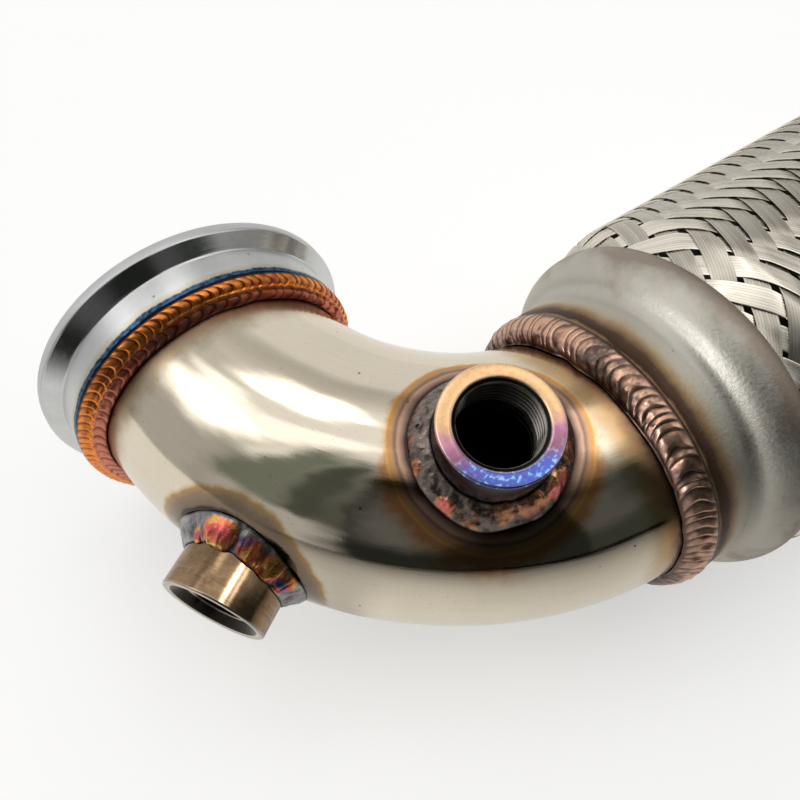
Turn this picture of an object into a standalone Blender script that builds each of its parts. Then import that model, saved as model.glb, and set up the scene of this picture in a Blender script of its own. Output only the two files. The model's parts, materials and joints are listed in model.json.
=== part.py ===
"""Head of a turbo downpipe in stainless steel, at its real size in metres.

A V-band flange, a 90 degree mandrel bend with two oxygen sensor bungs, and a
braided flex section between two pressed collars that ends in a plain pipe.

The bend lies flat, and every piece is placed from the bend's centre. The flange
faces +Y at the start of the bend, and the flex section runs along +X from its end.
"""

import math

import bmesh
import bpy
from mathutils import Matrix, Vector

# Clearance between pieces that touch
FIT_GAP = 0.0003

# Pipe and bend, which turns a right angle from the flange to the flex section
PIPE_RADIUS = 0.03175
PIPE_WALL = 0.0015
BEND_RADIUS = 0.0734
ELBOW_TUCK = 0.0052

# V-band flange: radial steps outwards from the pipe, and lengths along its axis
HUB_RISE = 0.00505
SLOPE_RISE = 0.0038
FLANGE_FACE = 0.0093
RIM_WIDTH = 0.0027
SLOPE_WIDTH = 0.0026
FLANGE_CHAMFER = 0.0005
SOCKET_DEPTH = 0.0044

# Sensor bungs, each standing on the pipe and placed by angles along and round the bend
BUNG_BORE_RADIUS = 0.0082
BUNG_WALL = 0.0040
BUNG_MOUTH_DEPTH = 0.0016
BUNG_CHAMFER = 0.0006
BUNG_STANDOFF = 0.01085
UPPER_BUNG_ALONG = math.radians(57.9)
UPPER_BUNG_LEAN = math.radians(9.3)
UPPER_BUNG_TILT = math.radians(0.8)
SIDE_BUNG_ALONG = math.radians(26.5)
SIDE_BUNG_LEAN = math.radians(88)
SIDE_BUNG_TILT = math.radians(4.0)

# Weld beads: how far each runs along the pipe, and how far its crown swells
FLANGE_BEAD_WIDTH = 0.0038
COLLAR_BEAD_WIDTH = 0.0060
BEAD_SWELL = 0.0006
BUNG_BEAD_WIDTH = 0.0042
BUNG_BEAD_HEIGHT = 0.0034

# Pressed collars of the flex section: a neck over the pipe, a rounded flare, and a short rim
COLLAR_WALL = 0.0015
NECK_CLEARANCE = 0.00365
NECK_LENGTH = 0.0095
NECK_OVERLAP = 0.0090
FLARE_RISE = 0.0069
FILLET_RADIUS = 0.0035
SHOULDER_ANGLE = math.radians(66)
COLLAR_RIM_LENGTH = 0.0022

# Flex section, whose axis lies a little nearer the bend's centre than the pipe's does
FLEX_LENGTH = 0.1520
FLEX_OFFSET = 0.0022
BRAID_SWELL = 0.0024
BRAID_SWELL_LENGTH = 0.0100
BRAID_WALL = 0.0010
BRAID_RIDGE = 0.0006
BRAID_TUCK = 0.0010
BRAID_LEAD = 0.1440
BRAID_CARRIERS = 24
BRAID_FIRST_ROW = math.radians(60)
BRAID_GAP_SIZE = 0.0014
BRAID_GAP_ROWS = 4
RING_WALL = 0.0012
RING_LENGTH = 0.0050
LINER_WALL = 0.0008
LINER_STEP = 0.0006
LINER_TURNS = 10
BELLOWS_WALL = 0.0005
BELLOWS_FOLDS = 12

# Plain outlet pipe beyond the second collar's neck
OUTLET_LENGTH = 0.0500

# Fineness of the round shapes
SIDES = 32
INNER_SIDES = 24
BUNG_SIDES = 24
BEND_STEPS = 10
ARC_STEPS = 3
CROWN_SHARES = (1 / 3, 2 / 3)
HARD_EDGE = math.radians(35)
HALVINGS = 40

# Flange, bung and pipe sizes that follow from the ones above
PIPE_BORE_RADIUS = PIPE_RADIUS - PIPE_WALL
PIPE_SURFACE = PIPE_RADIUS + FIT_GAP
BEND_ANGLE = math.acos((NECK_OVERLAP - ELBOW_TUCK) / BEND_RADIUS)
HUB_RADIUS = PIPE_RADIUS + HUB_RISE
FLANGE_RADIUS = HUB_RADIUS + SLOPE_RISE
SOCKET_RADIUS = PIPE_SURFACE + BEND_RADIUS - math.sqrt(BEND_RADIUS ** 2 - SOCKET_DEPTH ** 2)
BUNG_RADIUS = BUNG_BORE_RADIUS + BUNG_WALL
BUNG_MOUTH_RADIUS = BUNG_BORE_RADIUS + BUNG_MOUTH_DEPTH
BUNG_FACE_HEIGHT = PIPE_RADIUS + BUNG_STANDOFF

# Collar sizes, and places along the flex axis from the end of the bend
NECK_BORE_RADIUS = PIPE_RADIUS + NECK_CLEARANCE
NECK_RADIUS = NECK_BORE_RADIUS + COLLAR_WALL
COLLAR_RADIUS = NECK_RADIUS + FLARE_RISE
SHOULDER_RADIUS = FLARE_RISE / (1 - math.cos(SHOULDER_ANGLE)) - FILLET_RADIUS
FLARE_LENGTH = (FILLET_RADIUS + SHOULDER_RADIUS) * math.sin(SHOULDER_ANGLE)
COLLAR_LENGTH = NECK_LENGTH + FLARE_LENGTH + COLLAR_RIM_LENGTH
FLEX_AXIS = -(BEND_RADIUS - FLEX_OFFSET)
FLEX_START = -NECK_OVERLAP
FLEX_END = FLEX_START + FLEX_LENGTH
FLEX_MIDDLE = (FLEX_START + FLEX_END) / 2
COLLAR_RIM = FLEX_START + COLLAR_LENGTH

# Sizes of the layers under the collars, from the braid inwards
BRAID_RADIUS = COLLAR_RADIUS + BRAID_SWELL
BRAID_START = COLLAR_RIM - COLLAR_RIM_LENGTH - BRAID_TUCK
BRAID_LENGTH = 2 * (FLEX_MIDDLE - BRAID_START)
BRAID_END_RADIUS = COLLAR_RADIUS - COLLAR_WALL - FIT_GAP
BRAID_ROWS = 2 * BRAID_CARRIERS
BRAID_ROW_ANGLE = 2 * math.pi / BRAID_ROWS
FACET_DROP = math.cos(math.pi / SIDES)
INNER_FACET_DROP = math.cos(math.pi / INNER_SIDES)
RING_RADIUS = ((BRAID_END_RADIUS - BRAID_RIDGE - BRAID_WALL) * math.cos(BRAID_ROW_ANGLE / 2)
               - FIT_GAP)
RING_BORE_RADIUS = RING_RADIUS - RING_WALL
BELLOWS_CREST_RADIUS = RING_BORE_RADIUS * FACET_DROP - FIT_GAP
BELLOWS_ROOT_RADIUS = NECK_BORE_RADIUS * FACET_DROP - FIT_GAP
LINER_RADIUS = (BELLOWS_ROOT_RADIUS - BELLOWS_WALL) * INNER_FACET_DROP - FIT_GAP
LINER_START = FIT_GAP - (BEND_RADIUS - PIPE_RADIUS) * math.cos(BEND_ANGLE)
OUTLET_START = 2 * FLEX_MIDDLE - LINER_START + FIT_GAP
OUTLET_END = FLEX_END + OUTLET_LENGTH

# The part stands on the braid, with its origin under the middle of its box
ORIGIN = Vector((
    -(OUTLET_END - BEND_RADIUS - FLANGE_RADIUS) / 2,
    -(FLANGE_FACE + FLEX_AXIS - BRAID_RADIUS) / 2,
    BRAID_RADIUS,
))


def clear_scene():
    """Remove every object of the open file."""
    for item in list(bpy.data.objects):
        bpy.data.objects.remove(item, do_unlink=True)


def new_collection(name):
    """Add a collection to the scene."""
    collection = bpy.data.collections.new(name)
    bpy.context.scene.collection.children.link(collection)
    return collection


def new_frame(collection):
    """Add the empty that carries every piece, at the bend's centre."""
    frame = bpy.data.objects.new("bend_centre", None)
    frame.location = ORIGIN
    collection.objects.link(frame)
    return frame


def metal(name, colour, roughness):
    """Make a bare metal material."""
    material = bpy.data.materials.new(name)
    material.use_nodes = True
    shader = material.node_tree.nodes["Principled BSDF"]
    shader.inputs["Base Color"].default_value = (*colour, 1.0)
    shader.inputs["Roughness"].default_value = roughness
    shader.inputs["Metallic"].default_value = 1.0
    return material


def add_piece(name, mesh, collection, frame, place, finish=None):
    """Add one object at its place in the frame; finish is a colour and a roughness."""
    piece = bpy.data.objects.new(name, mesh)
    collection.objects.link(piece)
    piece.parent = frame
    piece.matrix_local = place
    if finish is not None and not mesh.materials:
        mesh.materials.append(metal(name, *finish))
    return piece


def smooth(mesh):
    """Shade a round mesh smooth, with its hard edges kept."""
    mesh.shade_smooth()
    mesh.set_sharp_from_angle(angle=HARD_EDGE)
    return mesh


def mesh_from(bm, name):
    """Turn a bmesh into a named mesh."""
    mesh = bpy.data.meshes.new(name)
    bm.to_mesh(mesh)
    bm.free()
    return mesh


def profile_mesh(name, points, closed):
    """Make the outline of a turned piece from (radius, height) pairs, run down its outer side."""
    count = len(points)
    edges = [(i, i + 1) for i in range(count - 1)]
    if closed:
        edges.append((count - 1, 0))
    mesh = bpy.data.meshes.new(name)
    mesh.from_pydata([(radius, 0.0, height) for radius, height in points], edges, [])
    return mesh


def turn(piece, sides):
    """Turn a piece's outline about its own Z axis."""
    screw = piece.modifiers.new("turn", "SCREW")
    screw.steps = sides
    screw.render_steps = sides
    screw.merge_threshold = 0.0001
    screw.use_merge_vertices = True
    screw.use_normal_calculate = False


def thicken(piece, wall):
    """Give an open surface its wall, on the inner side."""
    shell = piece.modifiers.new("wall", "SOLIDIFY")
    shell.thickness = wall
    shell.offset = -1.0
    shell.use_even_offset = True


def cut(piece, cutter):
    """Cut one object out of another."""
    boolean = piece.modifiers.new("cut_" + cutter.name, "BOOLEAN")
    boolean.operation = "DIFFERENCE"
    boolean.solver = "EXACT"
    boolean.object = cutter


def hide_cutter(cutter):
    """Show a cutter as a wire only."""
    cutter.hide_render = True
    cutter.display_type = "WIRE"


def axis_place(origin, axis, side):
    """Give the matrix of a piece whose Z axis points along axis and X axis towards side."""
    z_axis = axis.normalized()
    y_axis = z_axis.cross(side).normalized()
    x_axis = y_axis.cross(z_axis)
    turned = Matrix((x_axis, y_axis, z_axis)).transposed().to_4x4()
    return Matrix.Translation(origin) @ turned


def bend_point(angle):
    """Give the point of the centre line at an angle along the bend."""
    return Vector((-math.cos(angle), -math.sin(angle), 0.0)) * BEND_RADIUS


def bend_outward(angle):
    """Give the direction away from the bend's centre at an angle along the bend."""
    return Vector((-math.cos(angle), -math.sin(angle), 0.0))


def bend_tangent(angle):
    """Give the direction of the centre line at an angle along the bend."""
    return Vector((math.sin(angle), -math.cos(angle), 0.0))


def bung_place(along, lean, tilt):
    """Place a bung: on the centre line, leaning outwards, and tilted along the bend."""
    tangent = bend_tangent(along)
    upright = Vector((0.0, 0.0, math.cos(lean))) + bend_outward(along) * math.sin(lean)
    axis = upright * math.cos(tilt) + tangent * math.sin(tilt)
    return axis_place(bend_point(along), axis, tangent)


def flange_profile():
    """Outline of the V-band flange, with height towards its face."""
    slope_top = FLANGE_FACE - RIM_WIDTH
    return [
        (FLANGE_RADIUS - FLANGE_CHAMFER, FLANGE_FACE),
        (FLANGE_RADIUS, FLANGE_FACE - FLANGE_CHAMFER),
        (FLANGE_RADIUS, slope_top),
        (HUB_RADIUS, slope_top - SLOPE_WIDTH),
        (HUB_RADIUS, -SOCKET_DEPTH),
        (SOCKET_RADIUS, -SOCKET_DEPTH),
        (SOCKET_RADIUS, FIT_GAP),
        (PIPE_BORE_RADIUS, FIT_GAP),
        (PIPE_BORE_RADIUS, FLANGE_FACE),
    ]


def make_flange(parts, frame):
    """V-band flange whose socket takes the start of the elbow."""
    place = axis_place(bend_point(0.0), -bend_tangent(0.0), Vector((1.0, 0.0, 0.0)))
    mesh = profile_mesh("vband_flange", flange_profile(), True)
    flange = add_piece("vband_flange", mesh, parts, frame, place, ((0.62, 0.62, 0.61), 0.28))
    turn(flange, SIDES)


def bend_circle(name, radius):
    """Circle at the start of the bend."""
    bm = bmesh.new()
    turned = Matrix.Rotation(math.radians(90), 4, "X")
    start = Matrix.Translation(bend_point(0.0)) @ turned
    bmesh.ops.create_circle(bm, segments=SIDES, radius=radius, matrix=start)
    return smooth(mesh_from(bm, name))


def sweep_bend(piece, wall):
    """Sweep a piece's circle round the bend's centre, and give it a wall."""
    sweep = piece.modifiers.new("bend", "SCREW")
    sweep.angle = BEND_ANGLE
    sweep.steps = BEND_STEPS
    sweep.render_steps = BEND_STEPS
    sweep.merge_threshold = 0.0001
    sweep.use_normal_flip = True
    thicken(piece, wall)


def make_elbow(parts, frame, drills):
    """Mandrel bend with a hole under each bung."""
    mesh = bend_circle("elbow_pipe", PIPE_RADIUS)
    elbow = add_piece("elbow_pipe", mesh, parts, frame, Matrix(), ((0.72, 0.66, 0.55), 0.12))
    sweep_bend(elbow, PIPE_WALL)
    for drill in drills:
        cut(elbow, drill)


def make_drill(name, place, cutters, frame):
    """Cutter for the hole under a bung."""
    bm = bmesh.new()
    reach = 2 * BUNG_BORE_RADIUS
    bmesh.ops.create_cone(
        bm, cap_ends=True, segments=BUNG_SIDES, radius1=BUNG_BORE_RADIUS,
        radius2=BUNG_BORE_RADIUS, depth=reach,
        matrix=Matrix.Translation((0.0, 0.0, PIPE_RADIUS)))
    drill = add_piece(name, mesh_from(bm, name), cutters, frame, place)
    hide_cutter(drill)
    return drill


def make_saddle_cutter(cutters, frame):
    """Thick bend of the pipe's outer size, which shapes the foot of each bung."""
    mesh = bend_circle("pipe_outside", PIPE_SURFACE)
    cutter = add_piece("pipe_outside", mesh, cutters, frame, Matrix())
    sweep_bend(cutter, PIPE_RADIUS / 2)
    hide_cutter(cutter)
    return cutter


def bung_profile():
    """Outline of a bung, from its face down past the pipe's surface."""
    foot = math.sqrt(PIPE_RADIUS ** 2 - BUNG_RADIUS ** 2) - PIPE_WALL
    return [
        (BUNG_RADIUS - BUNG_CHAMFER, BUNG_FACE_HEIGHT),
        (BUNG_RADIUS, BUNG_FACE_HEIGHT - BUNG_CHAMFER),
        (BUNG_RADIUS, foot),
        (BUNG_BORE_RADIUS, foot),
        (BUNG_BORE_RADIUS, BUNG_FACE_HEIGHT - BUNG_MOUTH_DEPTH),
        (BUNG_MOUTH_RADIUS, BUNG_FACE_HEIGHT),
    ]


def make_bung(name, place, parts, frame, saddle):
    """Threaded bung, cut to the pipe at its foot."""
    mesh = profile_mesh(name, bung_profile(), True)
    bung = add_piece(name, mesh, parts, frame, place, ((0.46, 0.35, 0.26), 0.30))
    turn(bung, BUNG_SIDES)
    cut(bung, saddle)


def pipe_height(place, radius, angle):
    """Height above a bung's origin at which its ray at a radius leaves the pipe's surface."""
    low = 0.0
    high = BUNG_FACE_HEIGHT
    for _ in range(HALVINGS):
        middle = (low + high) / 2
        local = Vector((radius * math.cos(angle), radius * math.sin(angle), middle))
        point = place @ local
        ring = math.hypot(point.x, point.y) - BEND_RADIUS
        if math.hypot(ring, point.z) < PIPE_SURFACE:
            low = middle
        else:
            high = middle
    return (low + high) / 2


def loft_ring(name, sections):
    """Close a ring of like sections into one solid."""
    bm = bmesh.new()
    rings = [[bm.verts.new(point) for point in section] for section in sections]
    for i, ring in enumerate(rings):
        following = rings[(i + 1) % len(rings)]
        for j in range(len(ring)):
            k = (j + 1) % len(ring)
            bm.faces.new((ring[j], ring[k], following[k], following[j]))
    bmesh.ops.recalc_face_normals(bm, faces=bm.faces)
    return smooth(mesh_from(bm, name))


def make_bung_bead(name, place, parts, frame):
    """Fillet weld that follows the saddle round a bung."""
    inner = BUNG_RADIUS + FIT_GAP
    sections = []
    for i in range(BUNG_SIDES):
        angle = 2 * math.pi * i / BUNG_SIDES
        turned = (math.cos(angle), math.sin(angle))
        foot = pipe_height(place, inner, angle)
        toe_radius = inner + BUNG_BEAD_WIDTH
        toe = pipe_height(place, toe_radius, angle)
        outline = [(inner, foot), (inner, foot + BUNG_BEAD_HEIGHT)]
        for share in CROWN_SHARES:
            bulge = BUNG_BEAD_HEIGHT * (1 - share) + (toe - foot) * share
            outline.append((inner + BUNG_BEAD_WIDTH * share, foot + bulge + BEAD_SWELL))
        outline.append((toe_radius, toe))
        sections.append([(r * turned[0], r * turned[1], z) for r, z in outline])
    add_piece(name, loft_ring(name, sections), parts, frame, place, ((0.30, 0.19, 0.13), 0.45))


def bead_point(depth, angle):
    """Point on the pipe's surface, at a depth from the plane where the bend starts."""
    reach = BEND_RADIUS + PIPE_SURFACE * math.cos(angle)
    along = math.asin(depth / reach)
    point = bend_point(along) + bend_outward(along) * (PIPE_SURFACE * math.cos(angle))
    return point + Vector((0.0, 0.0, PIPE_SURFACE * math.sin(angle)))


def bead_section(root, top, toe):
    """Section of a fillet bead: up the end of a socket, and down over a round crown."""
    outward = (top - root).normalized()
    section = [root, top]
    for share in CROWN_SHARES:
        swell = BEAD_SWELL * math.sin(math.pi * share)
        section.append(top.lerp(toe, share) + outward * swell)
    section.append(toe)
    return section


def make_flange_bead(parts, frame):
    """Bead between the hub's end and the elbow."""
    depth = SOCKET_DEPTH + FIT_GAP
    sections = []
    for i in range(SIDES):
        angle = 2 * math.pi * i / SIDES
        spoke = bend_outward(0.0) * math.cos(angle) + Vector((0.0, 0.0, math.sin(angle)))
        top = bend_point(0.0) + bend_tangent(0.0) * depth + spoke * HUB_RADIUS
        sections.append(bead_section(
            bead_point(depth, angle), top, bead_point(depth + FLANGE_BEAD_WIDTH, angle)))
    mesh = loft_ring("flange_weld", sections)
    add_piece("flange_weld", mesh, parts, frame, Matrix(), ((0.55, 0.24, 0.12), 0.40))


def make_collar_bead(parts, frame):
    """Bead between the elbow and the neck of the first collar."""
    depth = NECK_OVERLAP + FIT_GAP
    sections = []
    for i in range(SIDES):
        angle = 2 * math.pi * i / SIDES
        root = bead_point(depth, angle)
        toe = bead_point(depth + COLLAR_BEAD_WIDTH, angle)
        top = Vector((-depth, FLEX_AXIS - NECK_RADIUS * math.cos(angle),
                      NECK_RADIUS * math.sin(angle)))
        sections.append(bead_section(Vector((root.y, root.x, root.z)), top,
                                     Vector((toe.y, toe.x, toe.z))))
    mesh = loft_ring("collar_weld", sections)
    add_piece("collar_weld", mesh, parts, frame, Matrix(), ((0.33, 0.20, 0.14), 0.45))


def arc_points(centre, radius, start, stop):
    """Points of an arc in (radius, height), with angles from the radius axis."""
    points = []
    for i in range(ARC_STEPS + 1):
        angle = start + (stop - start) * i / ARC_STEPS
        points.append((centre[0] + radius * math.cos(angle), centre[1] + radius * math.sin(angle)))
    return points


def collar_profile():
    """Outer line of a collar, with height from its rim down to its neck."""
    flare_end = COLLAR_RIM_LENGTH + FLARE_LENGTH
    shoulder_centre = (COLLAR_RADIUS - SHOULDER_RADIUS, -COLLAR_RIM_LENGTH)
    fillet_centre = (NECK_RADIUS + FILLET_RADIUS, -flare_end)
    points = [(COLLAR_RADIUS, 0.0)]
    points += arc_points(shoulder_centre, SHOULDER_RADIUS, 0.0, -SHOULDER_ANGLE)
    points += arc_points(fillet_centre, FILLET_RADIUS, math.pi - SHOULDER_ANGLE, math.pi)[1:]
    points.append((NECK_RADIUS, -COLLAR_LENGTH))
    return points


def flex_place(along, reverse):
    """Place a turned piece on the flex axis, with its height along +X, or along -X if reversed."""
    origin = Vector((along, FLEX_AXIS, 0.0))
    axis = Vector((-1.0 if reverse else 1.0, 0.0, 0.0))
    return axis_place(origin, axis, Vector((0.0, 1.0, 0.0)))


def mirrored(along):
    """Place along the flex axis that mirrors another about the section's middle."""
    return 2 * FLEX_MIDDLE - along


def make_collars(parts, frame):
    """Pressed collar at each end of the flex section."""
    mesh = profile_mesh("flex_collar", collar_profile(), False)
    finish = ((0.60, 0.58, 0.54), 0.38)
    for name, along, reverse in (
            ("flex_inlet_collar", COLLAR_RIM, False),
            ("flex_outlet_collar", mirrored(COLLAR_RIM), True)):
        collar = add_piece(name, mesh, parts, frame, flex_place(along, reverse), finish)
        turn(collar, SIDES)
        thicken(collar, COLLAR_WALL)


def make_rings(parts, frame):
    """Support ring under each end of the braid."""
    half = RING_LENGTH / 2
    middle = COLLAR_RIM - FIT_GAP - half
    outline = [(RING_RADIUS, half), (RING_RADIUS, -half),
               (RING_BORE_RADIUS, -half), (RING_BORE_RADIUS, half)]
    mesh = profile_mesh("flex_ring", outline, True)
    finish = ((0.50, 0.50, 0.49), 0.40)
    for name, along in (("flex_inlet_ring", middle), ("flex_outlet_ring", mirrored(middle))):
        ring = add_piece(name, mesh, parts, frame, flex_place(along, False), finish)
        turn(ring, SIDES)


def make_liner(parts, frame):
    """Interlock liner: a plain outside, and one step on the inside for each turn of its strip."""
    length = 2 * (FLEX_MIDDLE - LINER_START)
    turn_length = length / LINER_TURNS
    bore = LINER_RADIUS - LINER_WALL - LINER_STEP
    outline = [(LINER_RADIUS, length), (LINER_RADIUS, 0.0)]
    for i in range(LINER_TURNS):
        outline.append((bore, i * turn_length))
        outline.append((bore + LINER_STEP, (i + 1) * turn_length))
    mesh = profile_mesh("flex_liner", outline, True)
    place = flex_place(LINER_START, False)
    liner = add_piece("flex_liner", mesh, parts, frame, place, ((0.42, 0.41, 0.40), 0.35))
    turn(liner, INNER_SIDES)


def make_bellows(parts, frame):
    """Convoluted tube between the liner and the braid, with a plain cuff in each neck."""
    start = COLLAR_RIM - RING_LENGTH - FIT_GAP
    cuff = start - LINER_START
    length = 2 * (FLEX_MIDDLE - start)
    fold = length / BELLOWS_FOLDS
    outline = [(BELLOWS_ROOT_RADIUS, length + cuff), (BELLOWS_ROOT_RADIUS, length)]
    for i in range(BELLOWS_FOLDS):
        top = length - i * fold
        outline.append((BELLOWS_CREST_RADIUS, top - fold / 2))
        outline.append((BELLOWS_ROOT_RADIUS, top - fold))
    outline.append((BELLOWS_ROOT_RADIUS, -cuff))
    mesh = profile_mesh("flex_bellows", outline, False)
    place = flex_place(start, False)
    bellows = add_piece("flex_bellows", mesh, parts, frame, place, ((0.45, 0.44, 0.42), 0.30))
    turn(bellows, INNER_SIDES)
    thicken(bellows, BELLOWS_WALL)


def braid_radius(along):
    """Radius of the braid's low lines: tight under the collars and fuller between them."""
    edge = min(along - COLLAR_RIM, mirrored(COLLAR_RIM) - along)
    share = max(0.0, min(1.0, edge / BRAID_SWELL_LENGTH))
    eased = share * share * (3 - 2 * share)
    tight = BRAID_END_RADIUS - BRAID_RIDGE
    full = BRAID_RADIUS - BRAID_RIDGE
    return tight + (full - tight) * eased


def braid_point(along, angle, rise):
    """Point of the braid's outer face."""
    radius = braid_radius(along) + rise
    return Vector((along, radius * math.cos(angle), radius * math.sin(angle)))


def add_braid_cells(bm, pitch, columns):
    """Lay out one diamond for each crossing, marked with the float of ribbon that covers it."""
    floats = bm.faces.layers.int.new("float")
    nodes = {}
    for row in range(BRAID_ROWS):
        angle = BRAID_FIRST_ROW + row * BRAID_ROW_ANGLE
        for column in range(columns + 1):
            along = BRAID_START + (column + 0.5 * row_shift(row)) * pitch
            nodes[row, column] = bm.verts.new(braid_point(along, angle, 0.0))
    for row in range(BRAID_ROWS):
        for column in range(columns):
            beside = column + row_shift(row)
            above = nodes[(row + 1) % BRAID_ROWS, beside]
            below = nodes[(row - 1) % BRAID_ROWS, beside]
            cell = bm.faces.new((nodes[row, column], below, nodes[row, column + 1], above))
            cell[floats] = float_number(row, column, columns)
    return nodes, floats


def row_shift(row):
    """Half pitches by which a row of crossings is shifted: one on every second row."""
    return (row + 1) % 2


def float_number(row, column, columns):
    """Number of the float over a crossing: two rows long, leaning one way and then the other."""
    band = row // 2
    lean = row_shift(row) * row_shift(band)
    return band * (columns + 1) + column + lean


def open_braid_gaps(bm, nodes, columns, pitch):
    """Open the gaps at the ribbons' corners, on every few rows between the collars."""
    corners = []
    for row in range(0, BRAID_ROWS, BRAID_GAP_ROWS):
        for column in range(columns + 1):
            node = nodes[row, column]
            reach = min(node.co.x - COLLAR_RIM, mirrored(COLLAR_RIM) - node.co.x)
            if reach > pitch / 2:
                corners.append(node)
    opened = bmesh.ops.bevel(
        bm, geom=corners, offset=BRAID_GAP_SIZE, offset_type="OFFSET", segments=1,
        affect="VERTICES")
    bmesh.ops.delete(bm, geom=opened["faces"], context="FACES_ONLY")


def raise_braid_floats(bm, floats):
    """Raise each float's middle line over the lines between ribbons."""
    raised = bmesh.ops.poke(bm, faces=bm.faces[:])["verts"]
    centres = set(raised)
    for vert in centres:
        angle = math.atan2(vert.co.z, vert.co.y)
        vert.co = braid_point(vert.co.x, angle, BRAID_RIDGE)
    seams = []
    for edge in bm.edges:
        if len(edge.link_faces) == 2 and not centres.intersection(edge.verts):
            if edge.link_faces[0][floats] == edge.link_faces[1][floats]:
                seams.append(edge)
    bmesh.ops.rotate_edges(bm, edges=seams)


def make_braid(parts, frame):
    """Woven braid as one wall: a ridge for each float of ribbon, and gaps at their corners."""
    columns = round(BRAID_LENGTH / (BRAID_LEAD / BRAID_CARRIERS))
    pitch = BRAID_LENGTH / (columns + 0.5)
    bm = bmesh.new()
    nodes, floats = add_braid_cells(bm, pitch, columns)
    open_braid_gaps(bm, nodes, columns, pitch)
    raise_braid_floats(bm, floats)
    loose = [vert for vert in bm.verts if not vert.link_faces]
    bmesh.ops.delete(bm, geom=loose, context="VERTS")
    bmesh.ops.recalc_face_normals(bm, faces=bm.faces)
    mesh = mesh_from(bm, "flex_braid")
    place = Matrix.Translation((0.0, FLEX_AXIS, 0.0))
    braid = add_piece("flex_braid", mesh, parts, frame, place, ((0.66, 0.62, 0.54), 0.32))
    thicken(braid, BRAID_WALL)


def make_outlet(parts, frame):
    """Plain outlet pipe in the second collar's neck, and the bead that joins them."""
    length = OUTLET_END - OUTLET_START
    outline = [(PIPE_RADIUS, length), (PIPE_RADIUS, 0.0)]
    mesh = profile_mesh("outlet_pipe", outline, False)
    place = flex_place(OUTLET_START, False)
    pipe = add_piece("outlet_pipe", mesh, parts, frame, place, ((0.70, 0.66, 0.58), 0.16))
    turn(pipe, SIDES)
    thicken(pipe, PIPE_WALL)
    root = Vector((PIPE_SURFACE, FIT_GAP))
    top = Vector((NECK_RADIUS, FIT_GAP))
    toe = Vector((PIPE_SURFACE, FIT_GAP + COLLAR_BEAD_WIDTH))
    mesh = profile_mesh("outlet_weld", bead_section(root, top, toe)[::-1], True)
    finish = ((0.33, 0.22, 0.15), 0.45)
    weld = add_piece("outlet_weld", mesh, parts, frame, flex_place(FLEX_END, False), finish)
    turn(weld, SIDES)


def main():
    """Build the part."""
    clear_scene()
    parts = new_collection("turbo_downpipe")
    cutters = new_collection("cutters")
    frame = new_frame(parts)
    upper = bung_place(UPPER_BUNG_ALONG, UPPER_BUNG_LEAN, UPPER_BUNG_TILT)
    side = bung_place(SIDE_BUNG_ALONG, SIDE_BUNG_LEAN, SIDE_BUNG_TILT)
    saddle = make_saddle_cutter(cutters, frame)
    drills = [
        make_drill("upper_drill", upper, cutters, frame),
        make_drill("side_drill", side, cutters, frame),
    ]
    make_flange(parts, frame)
    make_elbow(parts, frame, drills)
    make_flange_bead(parts, frame)
    make_collar_bead(parts, frame)
    make_bung("upper_sensor_bung", upper, parts, frame, saddle)
    make_bung_bead("upper_bung_weld", upper, parts, frame)
    make_bung("side_sensor_bung", side, parts, frame, saddle)
    make_bung_bead("side_bung_weld", side, parts, frame)
    make_collars(parts, frame)
    make_rings(parts, frame)
    make_liner(parts, frame)
    make_bellows(parts, frame)
    make_braid(parts, frame)
    make_outlet(parts, frame)
    bpy.context.view_layer.update()


main()
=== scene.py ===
"""Studio picture of the head of a turbo downpipe in stainless steel, in metres.

A V-band flange, a polished bend with two sensor bungs, and a braided flex section,
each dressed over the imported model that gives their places.
"""

import json
import logging
import math
from collections.abc import Callable, Iterator
from contextlib import contextmanager
from dataclasses import dataclass, field
from enum import Enum

import bmesh
import bpy
import numpy as np
from mathutils import Matrix, Vector, noise

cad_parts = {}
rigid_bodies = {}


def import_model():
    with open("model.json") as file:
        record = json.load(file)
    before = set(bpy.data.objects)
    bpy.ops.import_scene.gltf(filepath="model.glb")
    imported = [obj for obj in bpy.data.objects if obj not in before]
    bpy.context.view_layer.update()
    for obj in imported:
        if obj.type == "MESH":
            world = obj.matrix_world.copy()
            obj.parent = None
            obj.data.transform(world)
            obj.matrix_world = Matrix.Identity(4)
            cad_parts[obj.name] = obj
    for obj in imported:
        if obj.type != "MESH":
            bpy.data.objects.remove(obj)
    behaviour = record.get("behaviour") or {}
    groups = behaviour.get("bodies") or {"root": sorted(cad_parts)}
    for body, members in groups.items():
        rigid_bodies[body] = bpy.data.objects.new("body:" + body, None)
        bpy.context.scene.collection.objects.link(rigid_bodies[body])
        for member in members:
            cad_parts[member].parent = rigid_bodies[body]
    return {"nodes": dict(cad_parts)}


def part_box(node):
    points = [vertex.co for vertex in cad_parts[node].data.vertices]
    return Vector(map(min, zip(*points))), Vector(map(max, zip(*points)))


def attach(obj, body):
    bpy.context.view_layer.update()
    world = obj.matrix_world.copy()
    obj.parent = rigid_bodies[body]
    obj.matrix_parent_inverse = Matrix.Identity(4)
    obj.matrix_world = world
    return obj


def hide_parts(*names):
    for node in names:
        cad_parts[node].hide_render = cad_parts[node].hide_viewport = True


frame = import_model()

LOG = logging.getLogger("turbo_downpipe")
MM = 0.001
BODY = "root"
CROWN_SHARE = 0.8
TURNING_LINES = 9000.0
EDGE_BLUR = 0.0001
Colour = tuple[float, float, float]
Point = tuple[float, float]


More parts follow.
